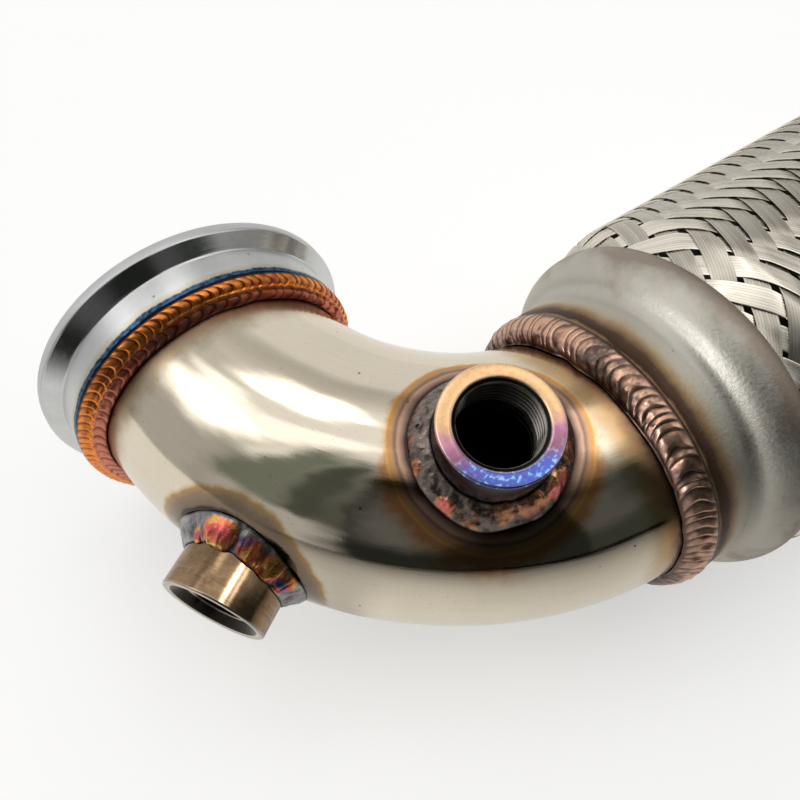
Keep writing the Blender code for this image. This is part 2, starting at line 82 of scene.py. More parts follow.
class Field:
    """Value that varies over a surface: arithmetic on it adds Math nodes."""

    def __init__(self, graph: "Graph", socket: bpy.types.NodeSocket) -> None:
        """Wrap a socket of a graph."""
        self.graph = graph
        self.socket = socket

    def math(self, operation: str, *others: "Field | float") -> "Field":
        """Run a Math operation with this value first."""
        return self.graph.math(operation, self, *others)

    def __add__(self, other: "Field | float") -> "Field":
        """Add."""
        return self.math("ADD", other)

    def __radd__(self, other: float) -> "Field":
        """Add to a number."""
        return self.graph.math("ADD", other, self)

    def __sub__(self, other: "Field | float") -> "Field":
        """Subtract."""
        return self.math("SUBTRACT", other)

    def __rsub__(self, other: float) -> "Field":
        """Subtract from a number."""
        return self.graph.math("SUBTRACT", other, self)

    def __mul__(self, other: "Field | float") -> "Field":
        """Multiply."""
        return self.math("MULTIPLY", other)

    def __truediv__(self, other: "Field | float") -> "Field":
        """Divide."""
        return self.math("DIVIDE", other)

    def hypot(self, other: "Field") -> "Field":
        """Give the length of the long side over this value and another."""
        return (self * self + other * other).math("SQRT")

    def rise(self, low: float, high: float) -> "Field":
        """Give 0 below low and 1 above high, smoothly.

        Args:
            low: value where the rise starts.
            high: value where it ends.

        Returns:
            The eased value.
        """
        made = self.graph.node(
            "ShaderNodeMapRange", {"interpolation_type": "SMOOTHSTEP"},
            {"Value": self, "From Min": low, "From Max": high})
        return Field(self.graph, made.outputs[0])

    def fall(self, low: float, high: float) -> "Field":
        """Give 1 below low and 0 above high, smoothly."""
        return 1 - self.rise(low, high)

    def band(self, low: float, high: float, soft: float) -> "Field":
        """Give 1 between low and high, with edges of a soft width.

        Args:
            low: lower end of the band.
            high: upper end of the band.
            soft: width of each edge.

        Returns:
            The mask.
        """
        return self.rise(low - soft, low + soft) * self.fall(high - soft, high + soft)


Input = Field | bpy.types.NodeSocket | float | tuple


class Graph:
    """Node tree of a material or of the world."""

    def __init__(self, tree: bpy.types.NodeTree) -> None:
        """Take the tree to fill."""
        self.tree = tree

    def node(self, kind: str, settings: dict | None = None,
             inputs: dict[str | int, Input] | None = None) -> bpy.types.Node:
        """Add one node.

        Args:
            kind: the node's type.
            settings: properties, set first. "stops" fills a ramp.
            inputs: a value or a link for each named or numbered socket.

        Returns:
            The node.
        """
        made = self.tree.nodes.new(kind)
        for key, value in (settings or {}).items():
            if key == "stops":
                self.fill_ramp(made.color_ramp, value)
            else:
                setattr(made, key, value)
        for key, value in (inputs or {}).items():
            source = value.socket if isinstance(value, Field) else value
            if isinstance(source, bpy.types.NodeSocket):
                self.tree.links.new(source, made.inputs[key])
            else:
                made.inputs[key].default_value = source
        return made

    def fill_ramp(self, ramp: bpy.types.ColorRamp, stops: list[tuple[float, Colour]]) -> None:
        """Give a colour ramp its stops.

        Args:
            ramp: the ramp.
            stops: position and colour of each stop.
        """
        while len(ramp.elements) < len(stops):
            ramp.elements.new(1.0)
        for element, (position, colour) in zip(ramp.elements, stops):
            element.position = position
            element.color = (*colour, 1.0)

    def math(self, operation: str, *values: Field | float) -> Field:
        """Add a Math node."""
        made = self.node("ShaderNodeMath", {"operation": operation}, dict(enumerate(values)))
        return Field(self, made.outputs[0])

    def vector(self, operation: str, *values: Input) -> bpy.types.Node:
        """Add a Vector Math node."""
        return self.node("ShaderNodeVectorMath", {"operation": operation}, dict(enumerate(values)))

    def position(self) -> bpy.types.NodeSocket:
        """Give the point on the piece, in metres."""
        return self.node("ShaderNodeTexCoord").outputs["Object"]

    def local(self, place: Matrix) -> bpy.types.NodeSocket:
        """Give the point in the space of a place, such as a bung's.

        Args:
            place: matrix of the space, without scale.

        Returns:
            The socket of the point in that space.
        """
        made = self.node(
            "ShaderNodeMapping", {"vector_type": "TEXTURE"},
            {"Vector": self.position(), "Location": tuple(place.translation),
             "Rotation": tuple(place.to_euler())})
        return made.outputs["Vector"]

    def split(self, vector: bpy.types.NodeSocket) -> tuple[Field, Field, Field]:
        """Give a vector's three values."""
        made = self.node("ShaderNodeSeparateXYZ", inputs={"Vector": vector})
        return tuple(Field(self, socket) for socket in made.outputs)

    def join(self, x: Field | float, y: Field | float, z: Field | float) -> bpy.types.NodeSocket:
        """Make a vector of three values."""
        return self.node("ShaderNodeCombineXYZ", inputs={0: x, 1: y, 2: z}).outputs[0]

    def attribute(self, name: str) -> Field:
        """Read a value that the mesh carries."""
        made = self.node("ShaderNodeAttribute", {"attribute_name": name})
        return Field(self, made.outputs["Fac"])

    def noise(self, vector: bpy.types.NodeSocket, scale: float, detail: float = 2.0,
              roughness: float = 0.5) -> Field:
        """Give noise between 0 and 1.

        Args:
            vector: where to read it.
            scale: cells in a unit of the vector.
            detail: how many finer layers it has.
            roughness: how strong the finer layers are.

        Returns:
            The noise.
        """
        made = self.node("ShaderNodeTexNoise", inputs={
            "Vector": vector, "Scale": scale, "Detail": detail, "Roughness": roughness})
        return Field(self, made.outputs[0])

    def specks(self, vector: bpy.types.NodeSocket, scale: float, size: float) -> Field:
        """Give small round specks, 1 inside them.

        Args:
            vector: where to read them.
            scale: cells in a unit of the vector.
            size: radius of a speck, as a share of a cell.

        Returns:
            The mask.
        """
        made = self.node("ShaderNodeTexVoronoi", inputs={"Vector": vector, "Scale": scale})
        chosen = self.split(made.outputs["Color"])[0].rise(0.80, 0.82)
        return Field(self, made.outputs["Distance"]).fall(size * 0.6, size) * chosen

    def ramp(self, factor: Field, stops: list[tuple[float, Colour]]) -> bpy.types.NodeSocket:
        """Give a colour along a ramp."""
        return self.node("ShaderNodeValToRGB", {"stops": stops}, {0: factor}).outputs[0]

    def mix(self, factor: Field | float, first: Input, second: Input) -> bpy.types.NodeSocket:
        """Mix two colours.

        Args:
            factor: share of the second colour.
            first: colour at 0.
            second: colour at 1.

        Returns:
            The socket of the mixed colour.
        """
        made = self.node("ShaderNodeMix", {"data_type": "RGBA"}, {
            0: factor, 6: rgba(first), 7: rgba(second)})
        return made.outputs[2]

    def times(self, colour: Input, factor: Field) -> bpy.types.NodeSocket:
        """Darken or lighten a colour by a value."""
        return self.vector("MULTIPLY", colour, self.join(factor, factor, factor)).outputs[0]


def shade(colour: Colour, share: float) -> Colour:
    """Darken a plain colour to a share of itself."""
    return tuple(share * value for value in colour)


def rgba(colour: Input) -> Input:
    """Give a plain colour its fourth value, and leave a link as it is.

    Args:
        colour: three values, or a link.

    Returns:
        Four values, or the link.
    """
    if isinstance(colour, tuple):
        return (*colour, 1.0)
    return colour


@dataclass(frozen=True)
class Finish:
    """Bare metal, which each finish paints in its own way."""

    name: str

    def material(self) -> bpy.types.Material:
        """Make the material.

        Returns:
            The material.
        """
        made = bpy.data.materials.new(self.name)
        made.use_nodes = True
        shader = made.node_tree.nodes["Principled BSDF"]
        shader.inputs["Metallic"].default_value = 1.0
        self.paint(Graph(made.node_tree), shader)
        return made

    def paint(self, graph: Graph, shader: bpy.types.Node) -> None:
        """Link colour, roughness and relief to the shader."""
        raise NotImplementedError

    def link(self, graph: Graph, shader: bpy.types.Node, colour: Input,
             roughness: Field | float, relief: Field | None = None, depth: float = 0.0) -> None:
        """Link the sockets that every finish has.

        Args:
            graph: the material's graph.
            shader: the Principled shader.
            colour: base colour.
            roughness: roughness over the surface.
            relief: height for bump, from 0 to 1.
            depth: height of the relief in metres.
        """
        graph.tree.links.new(colour, shader.inputs["Base Color"])
        if isinstance(roughness, Field):
            graph.tree.links.new(roughness.socket, shader.inputs["Roughness"])
        else:
            shader.inputs["Roughness"].default_value = roughness
        if relief is not None:
            bump = graph.node("ShaderNodeBump", inputs={"Height": relief, "Distance": depth})
            graph.tree.links.new(bump.outputs[0], shader.inputs["Normal"])


@dataclass(frozen=True)
class Bend:
    """Centre line of the bend and the pipe round it, placed by the flange in the frame."""

    centre: Vector
    radius: float = 0.0734
    pipe_radius: float = 0.03175
    wall: float = 0.0015
    gap: float = 0.0003
    neck_overlap: float = 0.0090
    elbow_tuck: float = 0.0052
    flex_offset: float = 0.0022

    @classmethod
    def from_frame(cls) -> "Bend":
        """Find the bend's centre from the flange's box.

        Returns:
            The bend.
        """
        low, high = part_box("vband_flange")
        middle = (low + high) / 2
        return cls(Vector((middle.x + cls.radius, high.y - VBandFlange.face, middle.z)))

    @property
    def angle(self) -> float:
        """Angle that the elbow turns."""
        return math.acos((self.neck_overlap - self.elbow_tuck) / self.radius)

    @property
    def flex_axis(self) -> float:
        """Place of the flex axis across the bend, from its centre."""
        return self.flex_offset - self.radius

    def point(self, along: float) -> Vector:
        """Give the point of the centre line at an angle along the bend."""
        return self.centre + self.outward(along) * self.radius

    def outward(self, along: float) -> Vector:
        """Give the direction away from the bend's centre."""
        return Vector((-math.cos(along), -math.sin(along), 0.0))

    def tangent(self, along: float) -> Vector:
        """Give the direction of the centre line."""
        return Vector((math.sin(along), -math.cos(along), 0.0))

    def flex_place(self, along: float, reverse: bool = False) -> Matrix:
        """Place a turned piece on the flex axis.

        Args:
            along: distance of its origin from the end of the bend.
            reverse: whether its height runs back towards the bend.

        Returns:
            The matrix of the place.
        """
        axis = Vector((-1.0 if reverse else 1.0, 0.0, 0.0))
        origin = self.centre + Vector((along, self.flex_axis, 0.0))
        return axis_place(origin, axis, Vector((0.0, 1.0, 0.0)))


def axis_place(origin: Vector, axis: Vector, side: Vector) -> Matrix:
    """Give the matrix of a space whose Z runs along axis and whose X leans to side.

    Args:
        origin: its origin.
        axis: direction of Z.
        side: direction near X.

    Returns:
        The matrix.
    """
    z_axis = axis.normalized()
    y_axis = z_axis.cross(side).normalized()
    x_axis = y_axis.cross(z_axis)
    turned = Matrix((x_axis, y_axis, z_axis)).transposed().to_4x4()
    return Matrix.Translation(origin) @ turned


class Bench:
    """Workbench of modelling steps that every piece shares."""

    MERGE: float = 1e-6
    RING_MERGE: float = 1e-5
    ROW_STEP: float = 1e-4
    RING_SECTION: float = 0.25
    EDGE_SEGMENTS: int = 3

    @staticmethod
    def clear() -> None:
        """Select nothing."""
        bpy.ops.object.select_all(action="DESELECT")

    @staticmethod
    def take(name: str) -> bpy.types.Object:
        """Name the primitive that was just added.

        Args:
            name: the piece's name.

        Returns:
            The piece.
        """
        piece = bpy.context.object
        piece.name = name
        piece.data.name = name
        return piece

    @staticmethod
    @contextmanager
    def editing(piece: bpy.types.Object) -> Iterator[None]:
        """Hold a piece in edit mode.

        Args:
            piece: the piece.

        Yields:
            Nothing, while the piece is in edit mode.
        """
        bpy.context.view_layer.objects.active = piece
        bpy.ops.object.mode_set(mode="EDIT")
        yield
        bpy.ops.object.mode_set(mode="OBJECT")

    @classmethod
    def outline(cls, name: str, points: list[Point]) -> bpy.types.Object:
        """Draw a closed outline in the XZ plane by extruding one vertex.

        Args:
            name: the piece's name.
            points: pairs of radius and height.

        Returns:
            The piece, with its outline only.
        """
        cls.clear()
        bpy.ops.mesh.primitive_plane_add(size=1.0)
        piece = cls.take(name)
        steps = [Vector((radius, 0.0, height)) for radius, height in points]
        with cls.editing(piece):
            bpy.ops.mesh.merge(type="CENTER")
            bpy.ops.transform.translate(value=steps[0])
            for last, following in zip(steps, steps[1:]):
                bpy.ops.mesh.extrude_region_move(
                    TRANSFORM_OT_translate={"value": following - last})
            mesh = bmesh.from_edit_mesh(piece.data)
            mesh.verts.ensure_lookup_table()
            ends = (mesh.verts[0], mesh.verts[len(steps) - 1])
            for vert in mesh.verts:
                vert.select = vert in ends
            bmesh.update_edit_mesh(piece.data)
            bpy.ops.mesh.edge_face_add()
        return piece

    @classmethod
    def turn(cls, piece: bpy.types.Object, steps: int) -> None:
        """Spin an outline round Z into a closed body.

        Args:
            piece: the outline.
            steps: steps of the whole turn.
        """
        with cls.editing(piece):
            bpy.ops.mesh.select_all(action="SELECT")
            bpy.ops.mesh.spin(steps=steps, angle=2 * math.pi, center=(0, 0, 0), axis=(0, 0, 1))
            bpy.ops.mesh.select_all(action="SELECT")
            bpy.ops.mesh.remove_doubles(threshold=cls.MERGE)
            bpy.ops.mesh.normals_make_consistent(inside=False)

    @classmethod
    def soften(cls, piece: bpy.types.Object, width: float, sharpness: float = 25.0) -> None:
        """Round a piece's sharp edges.

        Args:
            piece: the piece.
            width: width of the rounding.
            sharpness: least angle in degrees of an edge that is rounded.
        """
        with cls.editing(piece):
            bpy.ops.mesh.select_mode(type="EDGE")
            bpy.ops.mesh.select_all(action="DESELECT")
            bpy.ops.mesh.edges_select_sharp(sharpness=math.radians(sharpness))
            bpy.ops.mesh.bevel(offset=width, segments=cls.EDGE_SEGMENTS, affect="EDGES")
            bpy.ops.mesh.select_mode(type="VERT")

    @classmethod
    def smooth(cls, piece: bpy.types.Object, angle: float = 30.0) -> None:
        """Shade a piece smooth, with sharp edges kept.

        Args:
            piece: the piece.
            angle: angle in degrees over which an edge stays sharp.
        """
        cls.clear()
        piece.select_set(True)
        bpy.context.view_layer.objects.active = piece
        bpy.ops.object.shade_smooth_by_angle(angle=math.radians(angle))

    @staticmethod
    def apply(piece: bpy.types.Object, kind: str, **settings: object) -> None:
        """Add a modifier and apply it.

        Args:
            piece: the piece.
            kind: the modifier's type.
            **settings: its properties.
        """
        bpy.context.view_layer.objects.active = piece
        modifier = piece.modifiers.new(kind.lower(), kind)
        for key, value in settings.items():
            setattr(modifier, key, value)
        bpy.ops.object.modifier_apply(modifier=modifier.name)

    @staticmethod
    def points(piece: bpy.types.Object) -> np.ndarray:
        """Read a piece's points.

        Args:
            piece: the piece.

        Returns:
            Rows of x, y and z.
        """
        found = np.empty(len(piece.data.vertices) * 3)
        piece.data.vertices.foreach_get("co", found)
        return found.reshape(-1, 3)

    @staticmethod
    def move(piece: bpy.types.Object, points: np.ndarray) -> None:
        """Give a piece's points new places."""
        piece.data.vertices.foreach_set("co", np.ascontiguousarray(points).ravel())
        piece.data.update()

    @staticmethod
    def mark(piece: bpy.types.Object, name: str, values: np.ndarray) -> None:
        """Keep a value for each point of a piece."""
        layer = piece.data.attributes.new(name, "FLOAT", "POINT")
        layer.data.foreach_set("value", np.asarray(values, np.float32))

    @classmethod
    def outward(cls, piece: bpy.types.Object) -> None:
        """Point a closed piece's faces out.

        Args:
            piece: the piece.
        """
        with cls.editing(piece):
            bpy.ops.mesh.select_all(action="SELECT")
            bpy.ops.mesh.normals_make_consistent(inside=False)

    @classmethod
    def rod(cls, name: str, sides: int, rows: tuple[int, int],
            ends: str = "NGON") -> tuple[bpy.types.Object, np.ndarray, np.ndarray]:
        """Add a straight rod with many rows, and number its points.

        Args:
            name: the piece's name.
            sides: points round the rod, a multiple of four.
            rows: steps along it, and steps that each of these is cut into.
            ends: how its ends are filled.

        Returns:
            The rod, the side that each point is on, and its share of the way along.
        """
        cls.clear()
        bpy.ops.mesh.primitive_cylinder_add(
            vertices=sides, radius=1.0, depth=1.0, end_fill_type=ends)
        piece = cls.take(name)
        with cls.editing(piece):
            bpy.ops.mesh.select_mode(type="EDGE")
            for steps in rows:
                mesh = bmesh.from_edit_mesh(piece.data)
                for edge in mesh.edges:
                    edge.select = abs(edge.verts[0].co.z - edge.verts[1].co.z) > cls.ROW_STEP
                bmesh.update_edit_mesh(piece.data)
                bpy.ops.mesh.subdivide(number_cuts=steps - 1)
            bpy.ops.mesh.select_mode(type="VERT")
        x, y, z = cls.points(piece).T
        side = np.round(np.arctan2(y, x) / (2 * math.pi) * sides).astype(int) % sides
        return piece, side, z + 0.5

    @classmethod
    def ring(cls, name: str, around: tuple[int, int],
             across: int) -> tuple[bpy.types.Object, np.ndarray, np.ndarray]:
        """Bend a rod into a closed ring and number its points.

        Args:
            name: the piece's name.
            around: steps round the ring, and steps that each of these is cut into.
            across: points round its section.

        Returns:
            The piece, and for each point its share round the ring and round the section.
        """
        piece, side, share = cls.rod(name, across, around, "NOTHING")
        angle = side / across * 2 * math.pi
        radius = 1.0 + cls.RING_SECTION * np.cos(angle)
        height = cls.RING_SECTION * np.sin(angle)
        cls.move(piece, turned_points(radius, share * 2 * math.pi, height))
        with cls.editing(piece):
            bpy.ops.mesh.select_all(action="SELECT")
            bpy.ops.mesh.remove_doubles(threshold=cls.RING_MERGE)
        x, y, z = cls.points(piece).T
        steps = around[0] * around[1]
        turn = np.round(np.arctan2(y, x) / (2 * math.pi) * steps) % steps / steps
        section = np.arctan2(z, np.hypot(x, y) - 1.0) / (2 * math.pi) * across
        return piece, turn, np.round(section) % across / across


def turned_points(radius: np.ndarray | float, angle: np.ndarray,
                  height: np.ndarray) -> np.ndarray:
    """Give rows of x, y and z for points by radius, angle round Z and height."""
    return np.column_stack((radius * np.cos(angle), radius * np.sin(angle), height))


def weld_section(section: np.ndarray) -> tuple[np.ndarray, np.ndarray]:
    """Split the points round a weld's section into its crown and its two legs.

    Args:
        section: share of the way round the section.

    Returns:
        Share of the way across the crown, and then back along the legs.
    """
    crown = np.clip(section / CROWN_SHARE, 0, 1)
    return crown, np.clip((section - CROWN_SHARE) / (1 - CROWN_SHARE), 0, 1)


def arc(centre: Point, radius: float, start: float, stop: float, steps: int) -> list[Point]:
    """Give the points of an arc.

    Args:
        centre: its centre, as radius and height.
        radius: its radius.
        start: first angle in degrees, from the radius axis.
        stop: last angle in degrees.
        steps: number of steps.

    Returns:
        The points, with both ends.
    """
    angles = [math.radians(start + (stop - start) * i / steps) for i in range(steps + 1)]
    return [(centre[0] + radius * math.cos(a), centre[1] + radius * math.sin(a)) for a in angles]


def rough(points: np.ndarray, scale: float, seed: float = 0.0) -> np.ndarray:
    """Give smooth noise at each point.

    Args:
        points: rows of x, y and z in metres.
        scale: size of its cells in metres.
        seed: shift that makes another pattern.

    Returns:
        Values about between -1 and 1.
    """
    shift = Vector((seed, seed * 2.3, seed * 3.7))
    return np.array([noise.noise(Vector(point) / scale + shift) for point in points])


class Assembly:
    """Group of pieces that is built, dressed and fixed to the frame."""

    def fix(self, piece: bpy.types.Object, finish: Finish, slot: str, *nodes: str) -> None:
        """Dress a finished piece and let it stand for its nodes.

        Args:
            piece: the piece, with its place in its mesh.
            finish: its finish.
            slot: the record's material slot; not used.
            *nodes: the nodes that it replaces.
        """
        piece.data.materials.clear()
        piece.data.materials.append(finish.material())
        if nodes:
            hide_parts(*nodes)
        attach(piece, BODY)
        LOG.info("%s: %d faces", piece.name, len(piece.data.polygons))

    def build(self) -> None:
        """Build and dress the pieces."""
        raise NotImplementedError


@dataclass(frozen=True)
class BendSpace:
    """Distances on the bend in millimetres, for the finishes of the pieces round it."""

    graph: Graph
    bend: Bend

    def centred(self) -> tuple[Field, Field, Field]:
        """Measure from the bend's centre.

        Returns:
            x, y and z in millimetres.
        """
        graph = self.graph
        moved = graph.vector("SUBTRACT", graph.position(), tuple(self.bend.centre)).outputs[0]
        scaled = graph.vector("SCALE", moved)
        scaled.inputs["Scale"].default_value = 1 / MM
        return graph.split(scaled.outputs[0])

    def from_axis(self, place: Matrix) -> Field:
        """Give the distance from a bung's axis, in millimetres."""
        x, y, _ = self.graph.split(self.graph.local(place))
        return x.hypot(y) / MM


@dataclass(frozen=True)
class TurnedSteel(Finish):
    """Bright turned steel of the flange, heat tinted beside the weld."""

    place: Matrix
    hub_end: float
    colour: Colour = (0.66, 0.67, 0.68)
    straw: Colour = (0.55, 0.49, 0.36)
    blue: Colour = (0.055, 0.13, 0.24)
    burnt: Colour = (0.02, 0.02, 0.03)
    speck: Colour = (0.16, 0.16, 0.16)
    skin: Point = (0.0350, 0.0355)
    straw_edge: Point = (2.0, 3.4)
    blue_edge: Point = (1.3, 1.9)
    burnt_edge: Point = (0.3, 0.6)

    def paint(self, graph: Graph, shader: bpy.types.Node) -> None:
        """Turning lines round the axis, and bands of tint by the hub's end.

        Args:
            graph: the material's graph.
            shader: the Principled shader.
        """
        x, y, z = graph.split(graph.local(self.place))
        radius = x.hypot(y)
        lines = graph.noise(graph.join(radius * TURNING_LINES, z * TURNING_LINES, 0.0), 1.0, 1.0)
        blotch = graph.noise(graph.position(), 160.0, 3.0)
        mottle = graph.noise(graph.position(), 900.0, 2.0)
        grey = graph.ramp(lines * 0.35 + blotch * 0.45 + mottle * 0.2, [
            (0.25, shade(self.colour, 0.78)), (0.7, self.colour)])
        weld = (z - self.hub_end) / MM + (blotch - 0.5) * 1.6 + (mottle - 0.5) * 0.6
        outside = radius.rise(*self.skin)
        colour = graph.mix(weld.fall(*self.straw_edge) * outside * 0.7, grey, self.straw)
        colour = graph.mix(weld.fall(*self.blue_edge) * outside, colour, graph.ramp(mottle, [
            (0.35, shade(self.blue, 0.3)), (0.6, self.blue)]))
        colour = graph.mix(weld.fall(*self.burnt_edge) * outside, colour, self.burnt)
        specks = graph.specks(graph.position(), 260.0, 0.10)
        colour = graph.mix(specks * 0.7, colour, self.speck)
        rim = VBandFlange.face - VBandFlange.rim_width
        land = z.rise(rim - EDGE_BLUR, rim + EDGE_BLUR)
        slope = z.band(rim - VBandFlange.slope_width, rim, EDGE_BLUR)
        roughness = 0.30 + land * 0.12 - slope * 0.17 + (mottle - 0.5) * 0.10
        self.link(graph, shader, colour, roughness, lines, 0.00001)


@dataclass
class VBandFlange(Assembly):
    """V-band flange at the start of the bend."""

    bend: Bend
    hub_radius: float = 0.0368
    radius: float = 0.0406
    face: float = 0.0093
    rim_width: float = 0.0027
    slope_width: float = 0.0026
    socket_depth: float = 0.0044
    edge_round: float = 0.00045
    steps: int = 192

    @property
    def place(self) -> Matrix:
        """Space of the flange, with Z out of its face."""
        return axis_place(self.bend.point(0.0), -self.bend.tangent(0.0), Vector((1.0, 0.0, 0.0)))

    def build(self) -> None:
        """Turn the flange with a small locating step round its bore."""
        bore = self.bend.pipe_radius - self.bend.wall
        top = self.face - self.rim_width
        piece = Bench.outline("flange", [
            (self.radius, self.face), (self.radius, top),
            (self.hub_radius, top - self.slope_width),
            (self.hub_radius, -self.socket_depth),
            (self.bend.pipe_radius + 3 * self.bend.gap, -self.socket_depth),
            (self.bend.pipe_radius + 2 * self.bend.gap, self.bend.gap),
            (bore, self.bend.gap), (bore, self.face)])
        Bench.turn(piece, self.steps)
        Bench.soften(piece, self.edge_round)
        Bench.smooth(piece)
        piece.data.transform(self.place)
        finish = TurnedSteel("turned_steel", self.place, -self.socket_depth)
        self.fix(piece, finish, "machined_stainless", "vband_flange")


@dataclass(frozen=True)
class HeatTint:
    """Bands of temper colour beside a weld, from its toe outwards."""

    reach: Field | float
    wander: float
    stops: tuple[tuple[float, Colour], ...]
    edge: float = 0.6

    def over(self, graph: Graph, base: Input, distance: Field, wave: Field) -> bpy.types.NodeSocket:
        """Paint the bands over a colour.

        Args:
            graph: the material's graph.
            base: colour without tint.
            distance: distance from the weld's toe, in millimetres.
            wave: noise that makes the bands wander.

        Returns:
            The tinted colour.
        """
        share = (distance + (wave - 0.5) * self.wander) / self.reach
        bands = graph.ramp(share, list(self.stops))
        return graph.mix(share.fall(self.edge, 1.0), base, bands)


@dataclass(frozen=True)
class PolishedPipe(Finish):
    """Mirror polished pipe with the heat tints of its four welds, and a burnt inside."""

    bend: Bend
    upper: Matrix
    side: Matrix
    flange_toe: float
    collar_toe: float
    bung_toe: float
    colour: Colour = (0.80, 0.72, 0.59)
    dirt: Colour = (0.09, 0.08, 0.06)
    inside: Colour = (0.05, 0.045, 0.04)
    flange_haze: Point = (1.5, 7.0)
    collar_haze: Point = (1.0, 5.0)
    tinted_height: Point = (0.006, 0.014)

    def paint(self, graph: Graph, shader: bpy.types.Node) -> None:
        """Base colour, heat tints, polishing marks and specks.

        Args:
            graph: the material's graph.
            shader: the Principled shader.
        """
        space = BendSpace(graph, self.bend)
        x, y, z = space.centred()
        ring = x.hypot(y) - self.bend.radius / MM
        streaks = self.streaks(graph, x, y, z, ring)
        point = graph.position()
        wave = graph.noise(point, 150.0, 4.0, 0.6)
        cloud = graph.noise(point, 45.0, 4.0, 0.6)
        grain = graph.noise(point, 2600.0, 2.0)
        base = graph.ramp(cloud * 0.7 + streaks * 0.3, [
            (0.30, shade(self.colour, 0.90)), (0.65, self.colour)])
        colour = self.seam_tints(graph, base, 0 - y, 0 - x, wave)
        colour = self.bung_tints(graph, colour, space, wave)
        dust = graph.specks(point, 260.0, 0.10) * 0.75 + graph.specks(point, 900.0, 0.16) * 0.30
        patches = graph.noise(point, 90.0).rise(0.5, 0.7)
        soot = graph.noise(point, 700.0, 3.0, 0.7).rise(0.62, 0.78) * patches
        dust = (dust + soot * 0.45).math("MINIMUM", 1.0)
        colour = graph.mix(dust, colour, self.dirt)
        skin = (self.bend.pipe_radius - self.bend.wall / 2) / MM
        outside = ring.hypot(z).rise(skin - 0.1, skin + 0.1)
        colour = graph.mix(outside, self.inside, colour)
        haze = (0 - y - self.flange_toe / MM).fall(*self.flange_haze) * 0.24 \
            + (0 - x - self.collar_toe / MM).fall(*self.collar_haze) * 0.16
        roughness = 0.60 - outside * 0.52 + (grain - 0.5) * 0.05 + (cloud - 0.5) * 0.08 \
            + (streaks - 0.5) * 0.07 + haze
        self.link(graph, shader, colour, roughness, streaks * 0.8 + grain * 0.2, 0.000012)

    def streaks(self, graph: Graph, x: Field, y: Field, z: Field, ring: Field) -> Field:
        """Give polishing streaks that run along the pipe.

        Args:
            graph: the material's graph.
            x: distance from the bend's centre along X, in millimetres.
            y: distance along Y.
            z: distance along Z.
            ring: distance outwards from the centre line, seen from above.

        Returns:
            The streaks, from 0 to 1.
        """
        along = y.math("ARCTAN2", x) * self.bend.radius / MM
        around = z.math("ARCTAN2", ring) * self.bend.pipe_radius / MM
        return graph.noise(graph.join(along * 0.10, around * 0.9, 0.0), 1.0, 4.0, 0.65)

    def seam_tints(self, graph: Graph, base: Input, from_flange: Field, from_collar: Field,
                   wave: Field) -> bpy.types.NodeSocket:
        """Paint the haze beside the flange's bead and the collar's bead.

        Args:
            graph: the material's graph.
            base: colour without tint.
            from_flange: depth from the flange's end of the bend, in millimetres.
            from_collar: depth from the collar's end, in millimetres.
            wave: noise that makes the bands wander.

        Returns:
            The tinted colour.
        """
        flange_tint = HeatTint(9.0, 6.0, (
            (0.00, (0.30, 0.22, 0.15)), (0.22, (0.34, 0.26, 0.18)),
            (0.50, (0.46, 0.38, 0.27)), (1.00, (0.68, 0.60, 0.47))), 0.35)
        collar_tint = HeatTint(10.0, 4.0, (
            (0.00, (0.12, 0.07, 0.05)), (0.14, (0.30, 0.17, 0.09)), (0.36, (0.50, 0.33, 0.17)),
            (0.62, (0.58, 0.44, 0.28)), (1.00, (0.74, 0.62, 0.44))), 0.5)
        colour = flange_tint.over(graph, base, from_flange - self.flange_toe / MM, wave)
        return collar_tint.over(graph, colour, from_collar - self.collar_toe / MM, wave)

    def bung_tints(self, graph: Graph, base: Input, space: BendSpace,
                   wave: Field) -> bpy.types.NodeSocket:
        """Paint the ring of bronze round each bung, and the wide one below the upper bung.

        Args:
            graph: the material's graph.
            base: colour without tint.
            space: distances on the bend.
            wave: noise that makes the bands wander.

        Returns:
            The tinted colour.
        """
        toe = self.bung_toe / MM
        side_tint = HeatTint(5.4, 3.2, (
            (0.00, (0.06, 0.045, 0.035)), (0.10, (0.20, 0.15, 0.11)), (0.50, (0.28, 0.21, 0.15)),
            (0.74, (0.46, 0.29, 0.13)), (1.00, (0.76, 0.60, 0.36))), 0.70)
        colour = side_tint.over(graph, base, space.from_axis(self.side) - toe, wave)
        _, down, height = graph.split(graph.local(self.upper))
        radius = space.from_axis(self.upper)
        below = (0 - down / MM) / radius
        reach = 4.5 + below.rise(-0.25, 0.45) * 4.6
        wide_tint = HeatTint(reach, 7.0, (
            (0.00, (0.50, 0.27, 0.13)), (0.60, (0.60, 0.29, 0.12)),
            (1.00, (0.76, 0.54, 0.30))), 0.55)
        ring_tint = HeatTint(4.4, 1.2, (
            (0.00, (0.06, 0.04, 0.035)), (0.10, (0.22, 0.13, 0.10)), (0.34, (0.52, 0.34, 0.25)),
            (0.48, (0.26, 0.15, 0.10)), (0.62, (0.46, 0.29, 0.18)), (0.82, (0.64, 0.31, 0.09)),
            (1.00, (0.84, 0.60, 0.30))), 0.84)
        tinted = wide_tint.over(graph, colour, radius - toe, wave)
        tinted = ring_tint.over(graph, tinted, radius - toe, wave)
        return graph.mix(height.rise(*self.tinted_height), colour, tinted)


